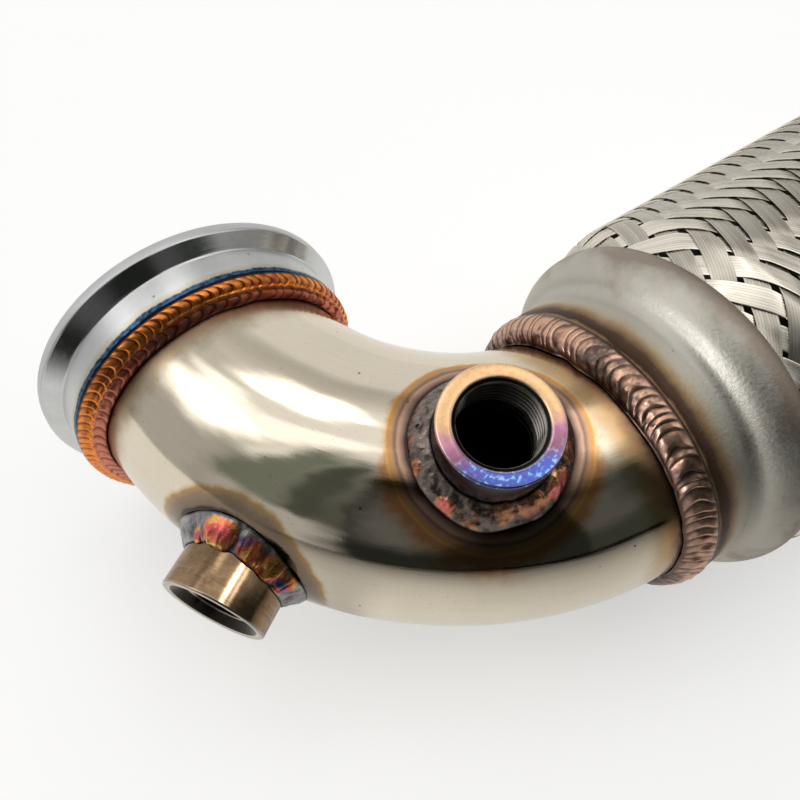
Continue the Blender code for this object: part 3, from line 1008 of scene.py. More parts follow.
@dataclass
class Elbow(Assembly):
    """Mandrel bend between the flange and the flex section."""

    bend: Bend
    upper: "SensorBung"
    side: "SensorBung"
    flange_toe: float
    collar_toe: float
    around: int = 160
    steps: int = 110
    ripple: float = 0.00008
    ripple_size: float = 0.016
    fine_ripple: float = 0.4
    fine_seed: float = 5.0
    drill_sides: int = 96

    def build(self) -> None:
        """Spin the pipe round the bend, give it its wall and drill it under the bungs."""
        bend = self.bend
        Bench.clear()
        bpy.ops.mesh.primitive_circle_add(
            vertices=self.around, radius=bend.pipe_radius, location=bend.point(0.0),
            rotation=(math.radians(90), 0, 0))
        piece = Bench.take("elbow")
        bpy.ops.object.transform_apply(location=True, rotation=True, scale=True)
        with Bench.editing(piece):
            bpy.ops.mesh.select_all(action="SELECT")
            bpy.ops.mesh.spin(steps=self.steps, angle=bend.angle, center=bend.centre,
                              axis=(0, 0, -1))
        self.settle(piece)
        Bench.outward(piece)
        Bench.apply(piece, "SOLIDIFY", thickness=bend.wall, offset=-1.0)
        for bung in (self.upper, self.side):
            self.drill(piece, bung)
        Bench.smooth(piece, 40.0)
        finish = PolishedPipe("polished_pipe", bend, self.upper.place, self.side.place,
                              self.flange_toe, self.collar_toe, self.upper.toe_radius)
        self.fix(piece, finish, "polished_stainless", "elbow_pipe")

    def settle(self, piece: bpy.types.Object) -> None:
        """Let the wall waver a little, as a bent and polished pipe does.

        Args:
            piece: the pipe, before it has its wall.
        """
        bend = self.bend
        points = Bench.points(piece)
        offset = points - np.array(bend.centre)
        reach = np.hypot(offset[:, 0], offset[:, 1])[:, None]
        line = np.array(bend.centre) + np.column_stack((offset[:, :2], np.zeros(len(offset)))) \
            / reach * bend.radius
        out = (points - line) / bend.pipe_radius
        fine = rough(points, self.ripple_size / 2, self.fine_seed)
        waver = rough(points, self.ripple_size) + self.fine_ripple * fine
        Bench.move(piece, points + out * (waver * self.ripple - self.ripple)[:, None])

    def drill(self, piece: bpy.types.Object, bung: "SensorBung") -> None:
        """Cut the hole under a bung.

        Args:
            piece: the pipe.
            bung: the bung over the hole.
        """
        Bench.clear()
        bpy.ops.mesh.primitive_cylinder_add(
            vertices=self.drill_sides, radius=bung.bore_radius, depth=2 * bung.bore_radius)
        cutter = Bench.take("drill")
        cutter.data.transform(bung.place @ Matrix.Translation((0, 0, self.bend.pipe_radius)))
        Bench.apply(piece, "BOOLEAN", operation="DIFFERENCE", object=cutter, solver="EXACT")
        bpy.data.objects.remove(cutter)


@dataclass(frozen=True)
class TintedBung(Finish):
    """Turned bung, heated to bronze, with a face that runs from gold to violet and blue."""

    place: Matrix
    face_height: float
    mouth_depth: float
    mouth_radius: float
    radius: float
    cool_side: Vector
    gold: Colour
    violet: Colour
    blue: Colour
    wall: Colour
    wall_dark: Colour
    inside: Colour
    # Colour of the painted edge highlights on the face and at the lip.
    edge: Colour
    roughness: float
    sparkle: float
    spark: Colour = (0.36, 0.72, 0.95)
    bore: Colour = (0.03, 0.025, 0.022)
    reach: float = 0.0115
    burnt_band: Point = (0.0105, 0.0065)
    face_edge: Point = (0.0008, 0.0002)

    def paint(self, graph: Graph, shader: bpy.types.Node) -> None:
        """Face tint across the bung, a bronze wall with turning lines, a dark bore whose thread
        carries painted shade on one side, and painted highlights on the face's edges.

        Args:
            graph: the material's graph.
            shader: the Principled shader.
        """
        x, y, z = graph.split(graph.local(self.place))
        radius = x.hypot(y)
        lines = graph.noise(graph.join(
            radius * TURNING_LINES, z * TURNING_LINES, y.math("ARCTAN2", x) * 2), 1.0, 2.0)
        blotch = graph.noise(graph.position(), 300.0, 3.0)
        glitter = graph.noise(graph.position(), 1100.0, 3.0)
        lean = graph.vector("DOT_PRODUCT", graph.local(self.place), tuple(self.cool_side))
        across = Field(graph, lean.outputs["Value"]) / self.reach + (blotch - 0.5) * 0.5
        face_colour = graph.ramp(across * 0.5 + 0.5, [
            (0.10, self.gold), (0.44, shade(self.gold, 0.9)),
            (0.60, self.violet), (0.74, shade(self.violet, 0.6)), (0.90, self.blue)])
        side_colour = graph.ramp(blotch * 0.6 + lines * 0.4, [
            (0.30, self.wall_dark), (0.62, self.wall)])
        burnt = z.fall(*(self.face_height - depth for depth in self.burnt_band))
        side_colour = graph.mix(burnt * 0.6, side_colour, self.wall_dark)
        on_face = z.rise(*(self.face_height - depth for depth in self.face_edge))
        colour = graph.mix(on_face, side_colour, face_colour)
        colour = graph.times(colour, 0.62 + glitter * 0.5 + lines * 0.26)
        spark = glitter.rise(0.52, 0.68) * on_face * across.rise(0.35, 0.75) * self.sparkle
        colour = graph.mix(spark, colour, self.spark)
        # Lighter rings on the face, at the mouth's edge and by the outer edge: painted edge
        # highlights.
        mouth, rim = self.mouth_radius, self.radius
        edge_highlights = radius.band(mouth - EDGE_BLUR / 2, mouth + EDGE_BLUR, EDGE_BLUR) \
            + radius.band(rim - 4 * EDGE_BLUR, rim - 2 * EDGE_BLUR, EDGE_BLUR)
        colour = graph.mix(edge_highlights * on_face * 0.6, colour, self.edge)
        inside = radius.fall(mouth - 3 * EDGE_BLUR, mouth - EDGE_BLUR)
        depth = (self.face_height - z) / MM
        lip = self.mouth_depth / MM
        # The thread is painted darker on the gold side and lighter on the cool side: painted shade
        # and painted light inside the bore.
        thread = graph.times(self.inside, across.rise(-1.0, 0.3) * 0.9 + 0.1)
        bore = graph.mix(depth.rise(lip - 0.1, lip), self.bore, thread)
        # A lighter band at the counterbore's lip: painted edge highlight.
        bore = graph.mix(depth.band(lip - 0.15, lip + 0.2, 0.1) * 0.7, bore, self.edge)
        colour = graph.mix(inside, colour, bore)
        roughness = self.roughness + inside * 0.12 + (lines + glitter) * 0.06
        self.link(graph, shader, colour, roughness, lines * 0.5 + glitter * 0.5, 0.000007)


@dataclass(frozen=True)
class BurntFillet(Finish):
    """Fillet weld round a bung: grey scale with red, orange and blue temper colours."""

    warm: Colour
    hot: Colour
    cold: Colour
    scale: Colour
    drop: tuple[Colour, Colour, Colour]
    seed: float

    def paint(self, graph: Graph, shader: bpy.types.Node) -> None:
        """Mottled scale, with temper colours that follow the lumps, and painted shade in the
        creases at the weld's edges.

        Args:
            graph: the material's graph.
            shader: the Principled shader.
        """
        point = graph.vector("ADD", graph.position(), (self.seed, 0.0, 0.0)).outputs[0]
        lump = graph.attribute("lump")
        temper = graph.attribute("temper")
        crown = graph.attribute("across")
        wave = graph.noise(point, 330.0, 4.0, 0.65)
        fine = graph.noise(point, 1900.0, 3.0, 0.6)
        hue = graph.noise(point, 190.0, 3.0)
        tint = graph.ramp(hue, [
            (0.30, self.cold), (0.42, self.warm), (0.56, self.hot), (0.70, self.warm)])
        grey = graph.ramp(wave, [(0.35, shade(self.scale, 0.50)), (0.65, self.scale)])
        mixed = temper + (wave - 0.5) * 0.9 + (hue - 0.5) * 0.7
        colour = graph.mix(mixed.rise(0.20, 0.45), grey, tint)
        bead = graph.ramp(crown + (wave - 0.5) * 0.35, list(zip((0.22, 0.42, 0.62), self.drop)))
        colour = graph.mix(temper.rise(0.78, 0.90), colour, bead)
        colour = graph.times(colour, (lump * 0.7 + fine * 0.3).rise(0.05, 0.60) * 0.6 + 0.4)
        # Darker at both edges of the weld, against the bung's wall and at its toe: painted shade in
        # the creases.
        crease_shade = crown.rise(0.02, 0.12) * crown.fall(0.93, 1.0) * 0.85 + 0.15
        colour = graph.times(colour, crease_shade)
        self.link(graph, shader, colour, 0.17 + fine * 0.20, fine * 0.4 + wave * 0.6, 0.00012)


@dataclass(frozen=True)
class Drop:
    """Lump of weld metal on a fillet, by its angle, half length along it and height."""

    angle: float
    length: float
    height: float
    heat: float
    middle: float = 0.45
    width: float = 0.0019


class BungSpot(Enum):
    """Where a bung stands on the bend."""

    UPPER = "upper"
    SIDE = "side"


@dataclass
class SensorBung(Assembly):
    """Threaded bung on the pipe, and the fillet weld round its foot."""

    bend: Bend
    spot: BungSpot
    along: float
    lean: float
    tilt: float
    finish: dict[str, object]
    fillet: dict[str, object]
    drops: tuple[Drop, ...]
    mouth_depth: float
    bore_radius: float = 0.0082
    radius: float = 0.0122
    standoff: float = 0.01085
    thread_pitch: float = 0.0015
    thread_depth: float = 0.0008
    thread_turns: int = 5
    rows_per_turn: int = 8
    bead_width: float = 0.0042
    bead_height: float = 0.0034
    bead_slope: float = 1.25
    bead_swell: float = 0.0003
    bead_waver: float = 0.12
    around: tuple[int, int] = (12, 40)
    across: int = 40
    ripple_height: float = 0.00016
    ripple_count: float = 36.4
    ripple_bow: float = 5.2
    foot_depth: float = 0.004
    foot_line: float = 0.003
    edge_round: float = 0.0005
    halvings: int = 30
    steps: int = 144

    @property
    def place(self) -> Matrix:
        """Space of the bung: its origin on the centre line, and Z out of its face.

        Returns:
            The matrix of the space.
        """
        along = math.radians(self.along)
        lean = math.radians(self.lean)
        tilt = math.radians(self.tilt)
        tangent = self.bend.tangent(along)
        upright = Vector((0.0, 0.0, math.cos(lean))) + self.bend.outward(along) * math.sin(lean)
        axis = upright * math.cos(tilt) + tangent * math.sin(tilt)
        return axis_place(self.bend.point(along), axis, tangent)

    @property
    def face_height(self) -> float:
        """Height of the face from the pipe's centre line."""
        return self.bend.pipe_radius + self.standoff

    @property
    def toe_radius(self) -> float:
        """Radius of the fillet's outer edge."""
        return self.radius + self.bend.gap + self.bead_width

    def pipe_height(self, radius: np.ndarray, angle: np.ndarray) -> np.ndarray:
        """Find where lines along the bung's axis leave the pipe.

        Args:
            radius: distance of each line from the axis.
            angle: angle of each line round the axis.

        Returns:
            The heights.
        """
        place = np.array(self.place)
        low = np.zeros_like(angle)
        high = np.full_like(angle, self.face_height)
        for _ in range(self.halvings):
            middle = (low + high) / 2
            local = np.stack((radius * np.cos(angle), radius * np.sin(angle), middle))
            world = place[:3, :3] @ local + place[:3, 3:] - np.array(self.bend.centre)[:, None]
            ring = np.hypot(world[0], world[1]) - self.bend.radius
            inside = np.hypot(ring, world[2]) < self.bend.pipe_radius
            low = np.where(inside, middle, low)
            high = np.where(inside, high, middle)
        return (low + high) / 2

    def build(self) -> None:
        """Build the bung and its weld."""
        self.build_bung()
        self.build_fillet()

    def build_bung(self) -> None:
        """Turn the bung, cut its thread and fit its foot to the pipe."""
        face = self.face_height
        mouth = self.bore_radius + self.mouth_depth
        foot = self.bend.pipe_radius - self.foot_depth
        rows = self.thread_turns * self.rows_per_turn
        start = face - self.mouth_depth
        span = self.thread_turns * self.thread_pitch
        bore = [(self.bore_radius, start - span + span * i / rows) for i in range(rows + 1)]
        name = f"{self.spot.value}_bung"
        piece = Bench.outline(name, [
            (mouth, face), (self.radius, face), (self.radius, foot), (self.bore_radius, foot),
            *bore])
        Bench.turn(piece, self.steps)
        with Bench.editing(piece):
            mesh = bmesh.from_edit_mesh(piece.data)
            bpy.ops.mesh.select_mode(type="EDGE")
            for edge in mesh.edges:
                reach = [vert.co.to_2d().length for vert in edge.verts]
                level = all(abs(vert.co.z - face) < Bench.MERGE for vert in edge.verts)
                edge.select = level and abs(reach[0] - reach[1]) < Bench.RING_MERGE
            bmesh.update_edit_mesh(piece.data)
            bpy.ops.mesh.bevel(
                offset=self.edge_round, segments=Bench.EDGE_SEGMENTS, affect="EDGES")
            bpy.ops.mesh.select_mode(type="VERT")
        self.cut_thread(piece, start, span)
        Bench.smooth(piece, 35.0)
        piece.data.transform(self.place)
        finish = TintedBung(name, place=self.place, face_height=face, mouth_radius=mouth,
                            mouth_depth=self.mouth_depth, radius=self.radius, **self.finish)
        self.fix(piece, finish, "heat_tinted_stainless", f"{self.spot.value}_sensor_bung")

    def cut_thread(self, piece: bpy.types.Object, start: float, span: float) -> None:
        """Push the bore's points out along a helix, and seat the foot on the pipe.

        Args:
            piece: the bung, still upright at the origin.
            start: height of the thread's upper end.
            span: its length.
        """
        points = Bench.points(piece)
        x, y, z = points.T
        radius = np.hypot(x, y)
        angle = np.arctan2(y, x)
        turn = (z / self.thread_pitch - angle / (2 * math.pi)) % 1.0
        groove = np.clip(1.25 - np.abs(turn - 0.5) * 3.6, 0.0, 1.0)
        inner = (radius < self.bore_radius + Bench.RING_MERGE) & (z > start - span - Bench.MERGE)
        fade = np.clip((start + 0.0002 - z) / 0.0004, 0, 1)
        fade = fade * np.clip((z - start + span) / 0.0006, 0, 1)
        pushed = np.where(inner, radius + self.thread_depth * groove * fade, radius)
        foot = z < self.bend.pipe_radius - self.foot_line
        height = np.where(foot, self.pipe_height(radius, angle) + self.bend.gap, z)
        Bench.move(piece, turned_points(pushed, angle, height))

    def build_fillet(self) -> None:
        """Lay the fillet weld round the foot."""
        piece, turn, section = Bench.ring(
            f"{self.spot.value}_bung_fillet", self.around, self.across)
        angle = turn * 2 * math.pi
        inner = self.radius + self.bend.gap / 3
        crown, back = weld_section(section)
        foot = self.pipe_height(np.full_like(angle, inner), angle)
        uneven = rough(turned_points(1.0, angle, 0 * angle) * MM, 0.5 * MM)
        width = self.bead_width * (1 + self.bead_waver * uneven)
        out = inner + width * crown
        toe = self.pipe_height(inner + width, angle)
        surface = self.pipe_height(out, angle)
        rise = self.bead_height * (1 - crown) ** self.bead_slope
        lumps = np.zeros_like(angle)
        heat = np.zeros_like(angle)
        for drop in self.drops:
            away = (angle - math.radians(drop.angle) + math.pi) % (2 * math.pi) - math.pi
            reach = (away * (inner + width / 2) / drop.length) ** 2 \
                + ((crown - drop.middle) * width / drop.width) ** 2
            near = np.exp(-reach ** 1.8)
            lumps = np.maximum(lumps, drop.height * near)
            heat = np.maximum(heat, drop.heat * np.clip(near * 1.5, 0, 1))
        bow = self.ripple_bow * (crown - 0.5) ** 2 / (2 * math.pi)
        ripple = (turn * self.ripple_count + bow) % 1.0
        wave = self.ripple_height * (1 - ripple) * np.sin(math.pi * crown)
        seat = turned_points(out, angle, surface)
        grain = rough(seat, 0.0010, 3.0) * 0.00022 + rough(seat, 0.0021, 7.0) * 0.00060
        edge = np.sin(math.pi * crown) ** 0.5
        height = surface + rise + lumps + (wave + grain + self.bead_swell) * edge
        lower = np.where(back < 0.5, toe + (foot - toe) * back * 2,
                         foot + self.bead_height * (back * 2 - 1))
        radius = np.where(back < 0.5, inner + width * (1 - back * 2), inner)
        under = section > CROWN_SHARE
        out = np.where(under, radius, out)
        height = np.where(under, lower - self.bend.gap / 3, height)
        Bench.move(piece, turned_points(out, angle, height))
        Bench.outward(piece)
        Bench.mark(piece, "lump", np.clip(0.5 + grain / 0.0008 + wave / 0.0004, 0, 1))
        Bench.mark(piece, "temper", heat)
        Bench.mark(piece, "across", crown)
        Bench.smooth(piece, 60.0)
        piece.data.transform(self.place)
        finish = BurntFillet(f"{self.spot.value}_fillet", **self.fillet)
        self.fix(piece, finish, "weld_bead", f"{self.spot.value}_bung_weld")


@dataclass(frozen=True)
class RippledBead(Finish):
    """Weld bead with a ripple for each dip of the rod."""

    crest: Colour
    second: Colour
    groove: Colour
    dull: Colour
    line: Colour
    patches: float

    def paint(self, graph: Graph, shader: bpy.types.Node) -> None:
        """Colour by ripple and by pass, dulled in patches.

        Args:
            graph: the material's graph.
            shader: the Principled shader.
        """
        ripple = graph.attribute("ripple")
        across = graph.attribute("across")
        point = graph.position()
        patch = graph.noise(point, self.patches, 3.0)
        spot = graph.noise(point, 420.0, 3.0, 0.6)
        fine = graph.noise(point, 2400.0, 2.0)
        colour = graph.mix(across.rise(0.52, 0.62), self.crest, self.second)
        colour = graph.mix((patch + (spot - 0.5) * 0.5).rise(0.48, 0.62), colour, self.dull)
        colour = graph.mix(spot.fall(0.30, 0.42) * 0.5, colour, self.groove)
        colour = graph.mix(ripple.fall(0.05, 0.45) * 0.8, colour, self.groove)
        colour = graph.mix(across.fall(0.03, 0.07), colour, self.line)
        colour = graph.times(colour, 0.8 + fine * 0.4)
        self.link(graph, shader, colour, 0.20 + spot * 0.22, fine * 0.4 + spot * 0.6, 0.00003)


@dataclass(frozen=True)
class Pass:
    """One run of a weld bead, by where it lies across the bead."""

    middle: float
    width: float
    height: float
    pitch: float
    relief: float


@dataclass
class SeamWeld(Assembly):
    """Bead round the pipe, from a shoulder down to the pipe's surface."""

    name: str
    node: str
    finish: RippledBead
    shoulder: Callable[[np.ndarray], np.ndarray]
    root: Callable[[np.ndarray], np.ndarray]
    toe: Callable[[np.ndarray], np.ndarray]
    length: float
    passes: tuple[Pass, ...]
    waver: float = 0.00014
    jitter: float = 0.4
    toe_waver: float = 0.08
    bow: float = 0.8
    fine_grain: float = 0.00003
    around: tuple[int, int] = (25, 44)
    across: int = 36

    def build(self) -> None:
        """Shape a ring into the bead's section, ripple by ripple."""
        piece, turn, section = Bench.ring(self.name, self.around, self.across)
        angle = turn * 2 * math.pi
        crown, back = weld_section(section)
        top = self.shoulder(angle)
        root = self.root(angle)
        circle = turned_points(1.0, angle, 0 * angle)
        toe = self.toe(angle)
        toe = toe + (toe - root) * (self.toe_waver * rough(circle * MM, 0.12 * MM, 2.0))[:, None]
        slope = toe - top
        out = top - root
        out -= slope * (np.sum(out * slope, 1) / np.sum(slope * slope, 1))[:, None]
        out /= np.linalg.norm(out, axis=1)[:, None]
        height = np.zeros_like(angle)
        ripples = np.zeros_like(angle)
        for run in self.passes:
            place = np.clip((crown - run.middle) / run.width, -1, 1)
            hump = (1 - place ** 2) ** 0.7
            jitter = self.jitter * rough(circle * MM, 0.09 * MM, run.pitch / MM)
            phase = (turn * self.length / run.pitch + self.bow * place ** 2 + jitter) % 1.0
            step = np.minimum(1 - phase, phase * 5.0) ** 0.8
            height += hump * (run.height + run.relief * step)
            ripples += hump * step
        surface = top + slope * crown[:, None]
        grain = rough(surface, 0.0022, 1.0) * self.waver
        grain = grain + rough(surface, 0.0008, 4.0) * self.fine_grain
        edge = np.sin(math.pi * crown) ** 0.4
        crest = surface + out * (height + (grain + self.waver / 2) * edge)[:, None]
        legs = np.where((back < 0.5)[:, None], toe + (root - toe) * (back * 2)[:, None],
                        root + (top - root) * (back * 2 - 1)[:, None])
        Bench.move(piece, np.where((section > CROWN_SHARE)[:, None], legs, crest))
        Bench.outward(piece)
        Bench.mark(piece, "ripple", np.clip(ripples, 0, 1))
        Bench.mark(piece, "across", crown)
        Bench.smooth(piece, 60.0)
        self.fix(piece, self.finish, "weld_bead", self.node)


@dataclass(frozen=True)
class SatinCollar(Finish):
    """Pressed collar with a satin skin, tinted at its neck."""

    place: Matrix
    neck_end: float
    colour: Colour = (0.57, 0.545, 0.49)
    stain_and_shade: Colour = (0.28, 0.205, 0.16)
    speck: Colour = (0.14, 0.12, 0.10)
    rim_highlight: Colour = (0.85, 0.83, 0.78)

    def paint(self, graph: Graph, shader: bpy.types.Node) -> None:
        """Soft mottling, stain with painted shade towards the rim, fine specks, the neck's bands
        and a painted highlight along the rim's edge.

        Args:
            graph: the material's graph.
            shader: the Principled shader.
        """
        _, _, z = graph.split(graph.local(self.place))
        point = graph.position()
        cloud = graph.noise(point, 60.0, 4.0, 0.6)
        fine = graph.noise(point, 1400.0, 3.0)
        wave = graph.noise(point, 140.0, 3.0)
        base = graph.ramp(cloud * 0.6 + fine * 0.4, [
            (0.30, shade(self.colour, 0.84)), (0.66, self.colour)])
        tint = HeatTint(9.5, 3.2, (
            (0.00, (0.30, 0.18, 0.10)), (0.08, (0.06, 0.035, 0.025)), (0.28, (0.11, 0.065, 0.045)),
            (0.46, (0.34, 0.23, 0.13)), (0.66, (0.50, 0.40, 0.27)),
            (1.00, (0.62, 0.57, 0.48))), 0.45)
        # Stain patches at random, with more of them towards the rim: the rim-ward share is painted
        # shade.
        wear_and_rim_shade = graph.noise(point, 26.0, 5.0, 0.65) + z.rise(-0.009, 0.0) * 0.20
        stain_and_rim_shade = wear_and_rim_shade.rise(0.50, 0.68) * 0.7
        colour = graph.mix(stain_and_rim_shade, base, self.stain_and_shade)
        colour = tint.over(graph, colour, (z - self.neck_end) / MM, wave)
        specks = graph.specks(point, 330.0, 0.13)
        colour = graph.mix(specks * 0.6, colour, self.speck)
        # A lighter band along the rim's edge: painted highlight.
        rim = z.rise(-0.0006, -0.0002)
        colour = graph.mix(rim * 0.5, colour, self.rim_highlight)
        roughness = 0.50 + (cloud - 0.5) * 0.20 + (fine - 0.5) * 0.20
        self.link(graph, shader, colour, roughness, fine * 0.7 + cloud * 0.3, 0.00009)


@dataclass(frozen=True)
class PlainSteel(Finish):
    """Rolled steel of the parts that lie inside."""

    colour: Colour
    roughness: float

    def paint(self, graph: Graph, shader: bpy.types.Node) -> None:
        """Faint streaks and a dulled skin.

        Args:
            graph: the material's graph.
            shader: the Principled shader.
        """
        streak = graph.noise(graph.position(), 500.0, 4.0, 0.6)
        colour = graph.ramp(streak, [(0.3, shade(self.colour, 0.7)), (0.7, self.colour)])
        self.link(graph, shader, colour, self.roughness + (streak - 0.5) * 0.2, streak, 0.00002)


@dataclass(frozen=True)
class RibbonWire(Finish):
    """Woven ribbon of bright wires, each a little unlike the next."""

    light: Colour
    dark: Colour
    # Colour of the painted shade in the grooves between wires.
    groove: Colour

    def paint(self, graph: Graph, shader: bpy.types.Node) -> None:
        """Tone by wire, painted shade in the grooves between wires, and faint drawing marks.

        Args:
            graph: the material's graph.
            shader: the Principled shader.
        """
        wire = graph.attribute("wire")
        along = graph.attribute("along")
        strand = wire.math("FLOOR")
        inside = wire.math("FRACT")
        tone = Field(graph, graph.node(
            "ShaderNodeTexWhiteNoise", {"noise_dimensions": "1D"}, {"W": strand}).outputs["Value"])
        drift = graph.noise(graph.join(strand * 3.7, along * 60.0, 0.0), 1.0, 2.0)
        colour = graph.ramp(tone * 0.55 + drift * 0.45, [(0.25, self.dark), (0.72, self.light)])
        # Darker at each wire's edges: painted shade in the grooves between round wires.
        gap = inside.fall(0.04, 0.20) + inside.rise(0.80, 0.96)
        colour = graph.mix(gap * 0.5, colour, self.groove)
        marks = graph.noise(graph.join(wire * 4.0, along * 900.0, 0.0), 1.0, 2.0)
        self.link(graph, shader, colour, 0.21 + tone * 0.10 + marks * 0.10, marks, 0.000012)


class Family(Enum):
    """The two ways in which the braid's ribbons wind; the first is painted light and the second
    painted shade, lit and shaded copies of one wire.
    """

    BRIGHT = 1
    GREY = -1


@dataclass
class FlexSection(Assembly):
    """Braided flex section: two collars, woven ribbons, and the parts inside."""

    bend: Bend
    neck_clearance: float = 0.00365
    wall: float = 0.0015
    neck_length: float = 0.0095
    flare_rise: float = 0.0069
    fillet_radius: float = 0.0035
    shoulder_angle: float = 66.0
    rim_length: float = 0.0022
    rim_outside: Point = (0.0004, 0.0005)
    rim_inside: Point = (0.0012, 0.0002)
    shoulder_steps: int = 14
    fillet_steps: int = 8
    length: float = 0.1520
    braid_swell: float = 0.0024
    swell_length: float = 0.0100
    braid_tuck: float = 0.0010
    carriers: int = 24
    columns: int = 19
    first_row: float = 60.0
    wires: int = 8
    cover: float = 0.77
    lift: float = 0.00030
    wire_rise: float = 0.00005
    strip: float = 0.00026
    under_sides: int = 4
    over: int = 2
    dive: float = 0.7
    liner_radius: float = 0.03384
    liner_wall: float = 0.0014
    liner_step: float = 0.0006
    liner_start: float = -0.0019
    liner_turns: int = 26
    liner_fold: tuple[float, float, float] = (0.55, 0.60, 0.97)
    liner_sides: int = 96
    outlet_length: float = 0.0500
    outlet_toe: float = 0.0063
    outlet_round: float = 0.0002
    steps: int = 160
    cell_steps: int = 5

    @property
    def neck_radius(self) -> float:
        """Outer radius of a neck."""
        return self.bend.pipe_radius + self.neck_clearance + self.wall

    @property
    def collar_radius(self) -> float:
        """Outer radius of a collar's rim."""
        return self.neck_radius + self.flare_rise

    @property
    def shoulder_radius(self) -> float:
        """Radius of the pressed shoulder."""
        return (self.flare_rise / (1 - math.cos(math.radians(self.shoulder_angle)))
                - self.fillet_radius)

    @property
    def flare_length(self) -> float:
        """Length of the flare along the axis."""
        return ((self.fillet_radius + self.shoulder_radius)
                * math.sin(math.radians(self.shoulder_angle)))

    @property
    def collar_length(self) -> float:
        """Length of a whole collar."""
        return self.neck_length + self.flare_length + self.rim_length

    @property
    def start(self) -> float:
        """Start of the first neck, from the end of the bend."""
        return -self.bend.neck_overlap

    @property
    def rim(self) -> float:
        """Place of the first collar's rim."""
        return self.start + self.collar_length

    @property
    def middle(self) -> float:
        """Middle of the section."""
        return self.start + self.length / 2

    @property
    def braid_start(self) -> float:
        """Place where the braid starts, under the first collar."""
        return self.rim - self.rim_length - self.braid_tuck

    @property
    def braid_length(self) -> float:
        """Length of the braid."""
        return 2 * (self.middle - self.braid_start)

    def mirrored(self, along: float) -> float:
        """Mirror a place about the section's middle."""
        return 2 * self.middle - along

    def build(self) -> None:
        """Build the collars, the braid, the liner and the outlet."""
        self.build_collar("inlet_collar", self.bend.flex_place(self.rim), "flex_inlet_collar")
        self.build_collar("outlet_collar", self.bend.flex_place(self.mirrored(self.rim), True),
                          "flex_outlet_collar")
        self.build_braid()
        self.build_liner()
        self.build_outlet()
        self.dress_inside()

    def collar_outline(self) -> list[Point]:
        """Draw a collar's section, from the rim down to the neck's end and back.

        Returns:
            Pairs of radius and height.
        """
        shoulder = (self.collar_radius - self.shoulder_radius, -self.rim_length)
        fillet = (self.neck_radius + self.fillet_radius, -self.rim_length - self.flare_length)
        turn, steps, fine = self.shoulder_angle, self.shoulder_steps, self.fillet_steps
        outer = [(self.collar_radius, -self.rim_outside[1])]
        outer += arc(shoulder, self.shoulder_radius, 0, -turn, steps)
        outer += arc(fillet, self.fillet_radius, 180 - turn, 180, fine)[1:]
        outer.append((self.neck_radius, -self.collar_length))
        inner = [(self.neck_radius - self.wall, -self.collar_length)]
        inner += arc(fillet, self.fillet_radius + self.wall, 180, 180 - turn, fine)
        inner += arc(shoulder, self.shoulder_radius - self.wall, -turn, 0, steps)[1:]
        inner += [(self.collar_radius - self.wall, -self.rim_inside[1]),
                  (self.collar_radius - self.rim_inside[0], 0.0),
                  (self.collar_radius - self.rim_outside[0], 0.0)]
        return outer + inner

    def build_collar(self, name: str, place: Matrix, node: str) -> None:
        """Press one collar.

        Args:
            name: the piece's name.
            place: its place, with its rim at the origin.
            node: the node that it replaces.
        """
        piece = Bench.outline(name, self.collar_outline())
        Bench.turn(piece, self.steps)
        Bench.smooth(piece, 40.0)
        piece.data.transform(place)
        finish = SatinCollar(name, place, -self.collar_length)
        self.fix(piece, finish, "satin_stainless", node)

    def braid_middle(self, along: np.ndarray) -> np.ndarray:
        """Give the radius of the braid's middle surface.

        Args:
            along: places along the axis.

        Returns:
            The radius at each place.
        """
        edge = np.minimum(along - self.rim, self.mirrored(self.rim) - along)
        share = np.clip(edge / self.swell_length, 0, 1)
        eased = share * share * (3 - 2 * share)
        top = self.lift + self.wire_rise
        tight = self.collar_radius - self.wall - self.bend.gap - top
        full = self.collar_radius + self.braid_swell - top
        return tight + (full - tight) * eased

    def build_braid(self) -> None:
        """Weave both families, each ribbon over two and under two, the first family painted light
        and the second painted shade.
        """
        # Both finishes are one wire in two tones: the first is painted light, the second painted
        # shade.
        light = RibbonWire("painted_lit_wire", light=(0.97, 0.93, 0.84), dark=(0.84, 0.78, 0.67),
                           groove=(0.46, 0.41, 0.33))
        grey = RibbonWire("painted_shade_wire", light=(0.62, 0.58, 0.51), dark=(0.50, 0.46, 0.40),
                          groove=(0.28, 0.26, 0.22))
        for family, finish in ((Family.BRIGHT, light), (Family.GREY, grey)):
            name = f"{family.name.lower()}_ribbons"
            ribbons = [self.ribbon(family, index) for index in range(self.carriers)]
            Bench.clear()
            for ribbon in ribbons:
                ribbon.select_set(True)
            bpy.context.view_layer.objects.active = ribbons[0]
            bpy.ops.object.join()
            piece = Bench.take(name)
            Bench.smooth(piece, 50.0)
            self.fix(piece, finish, "braid_wire", "flex_braid")

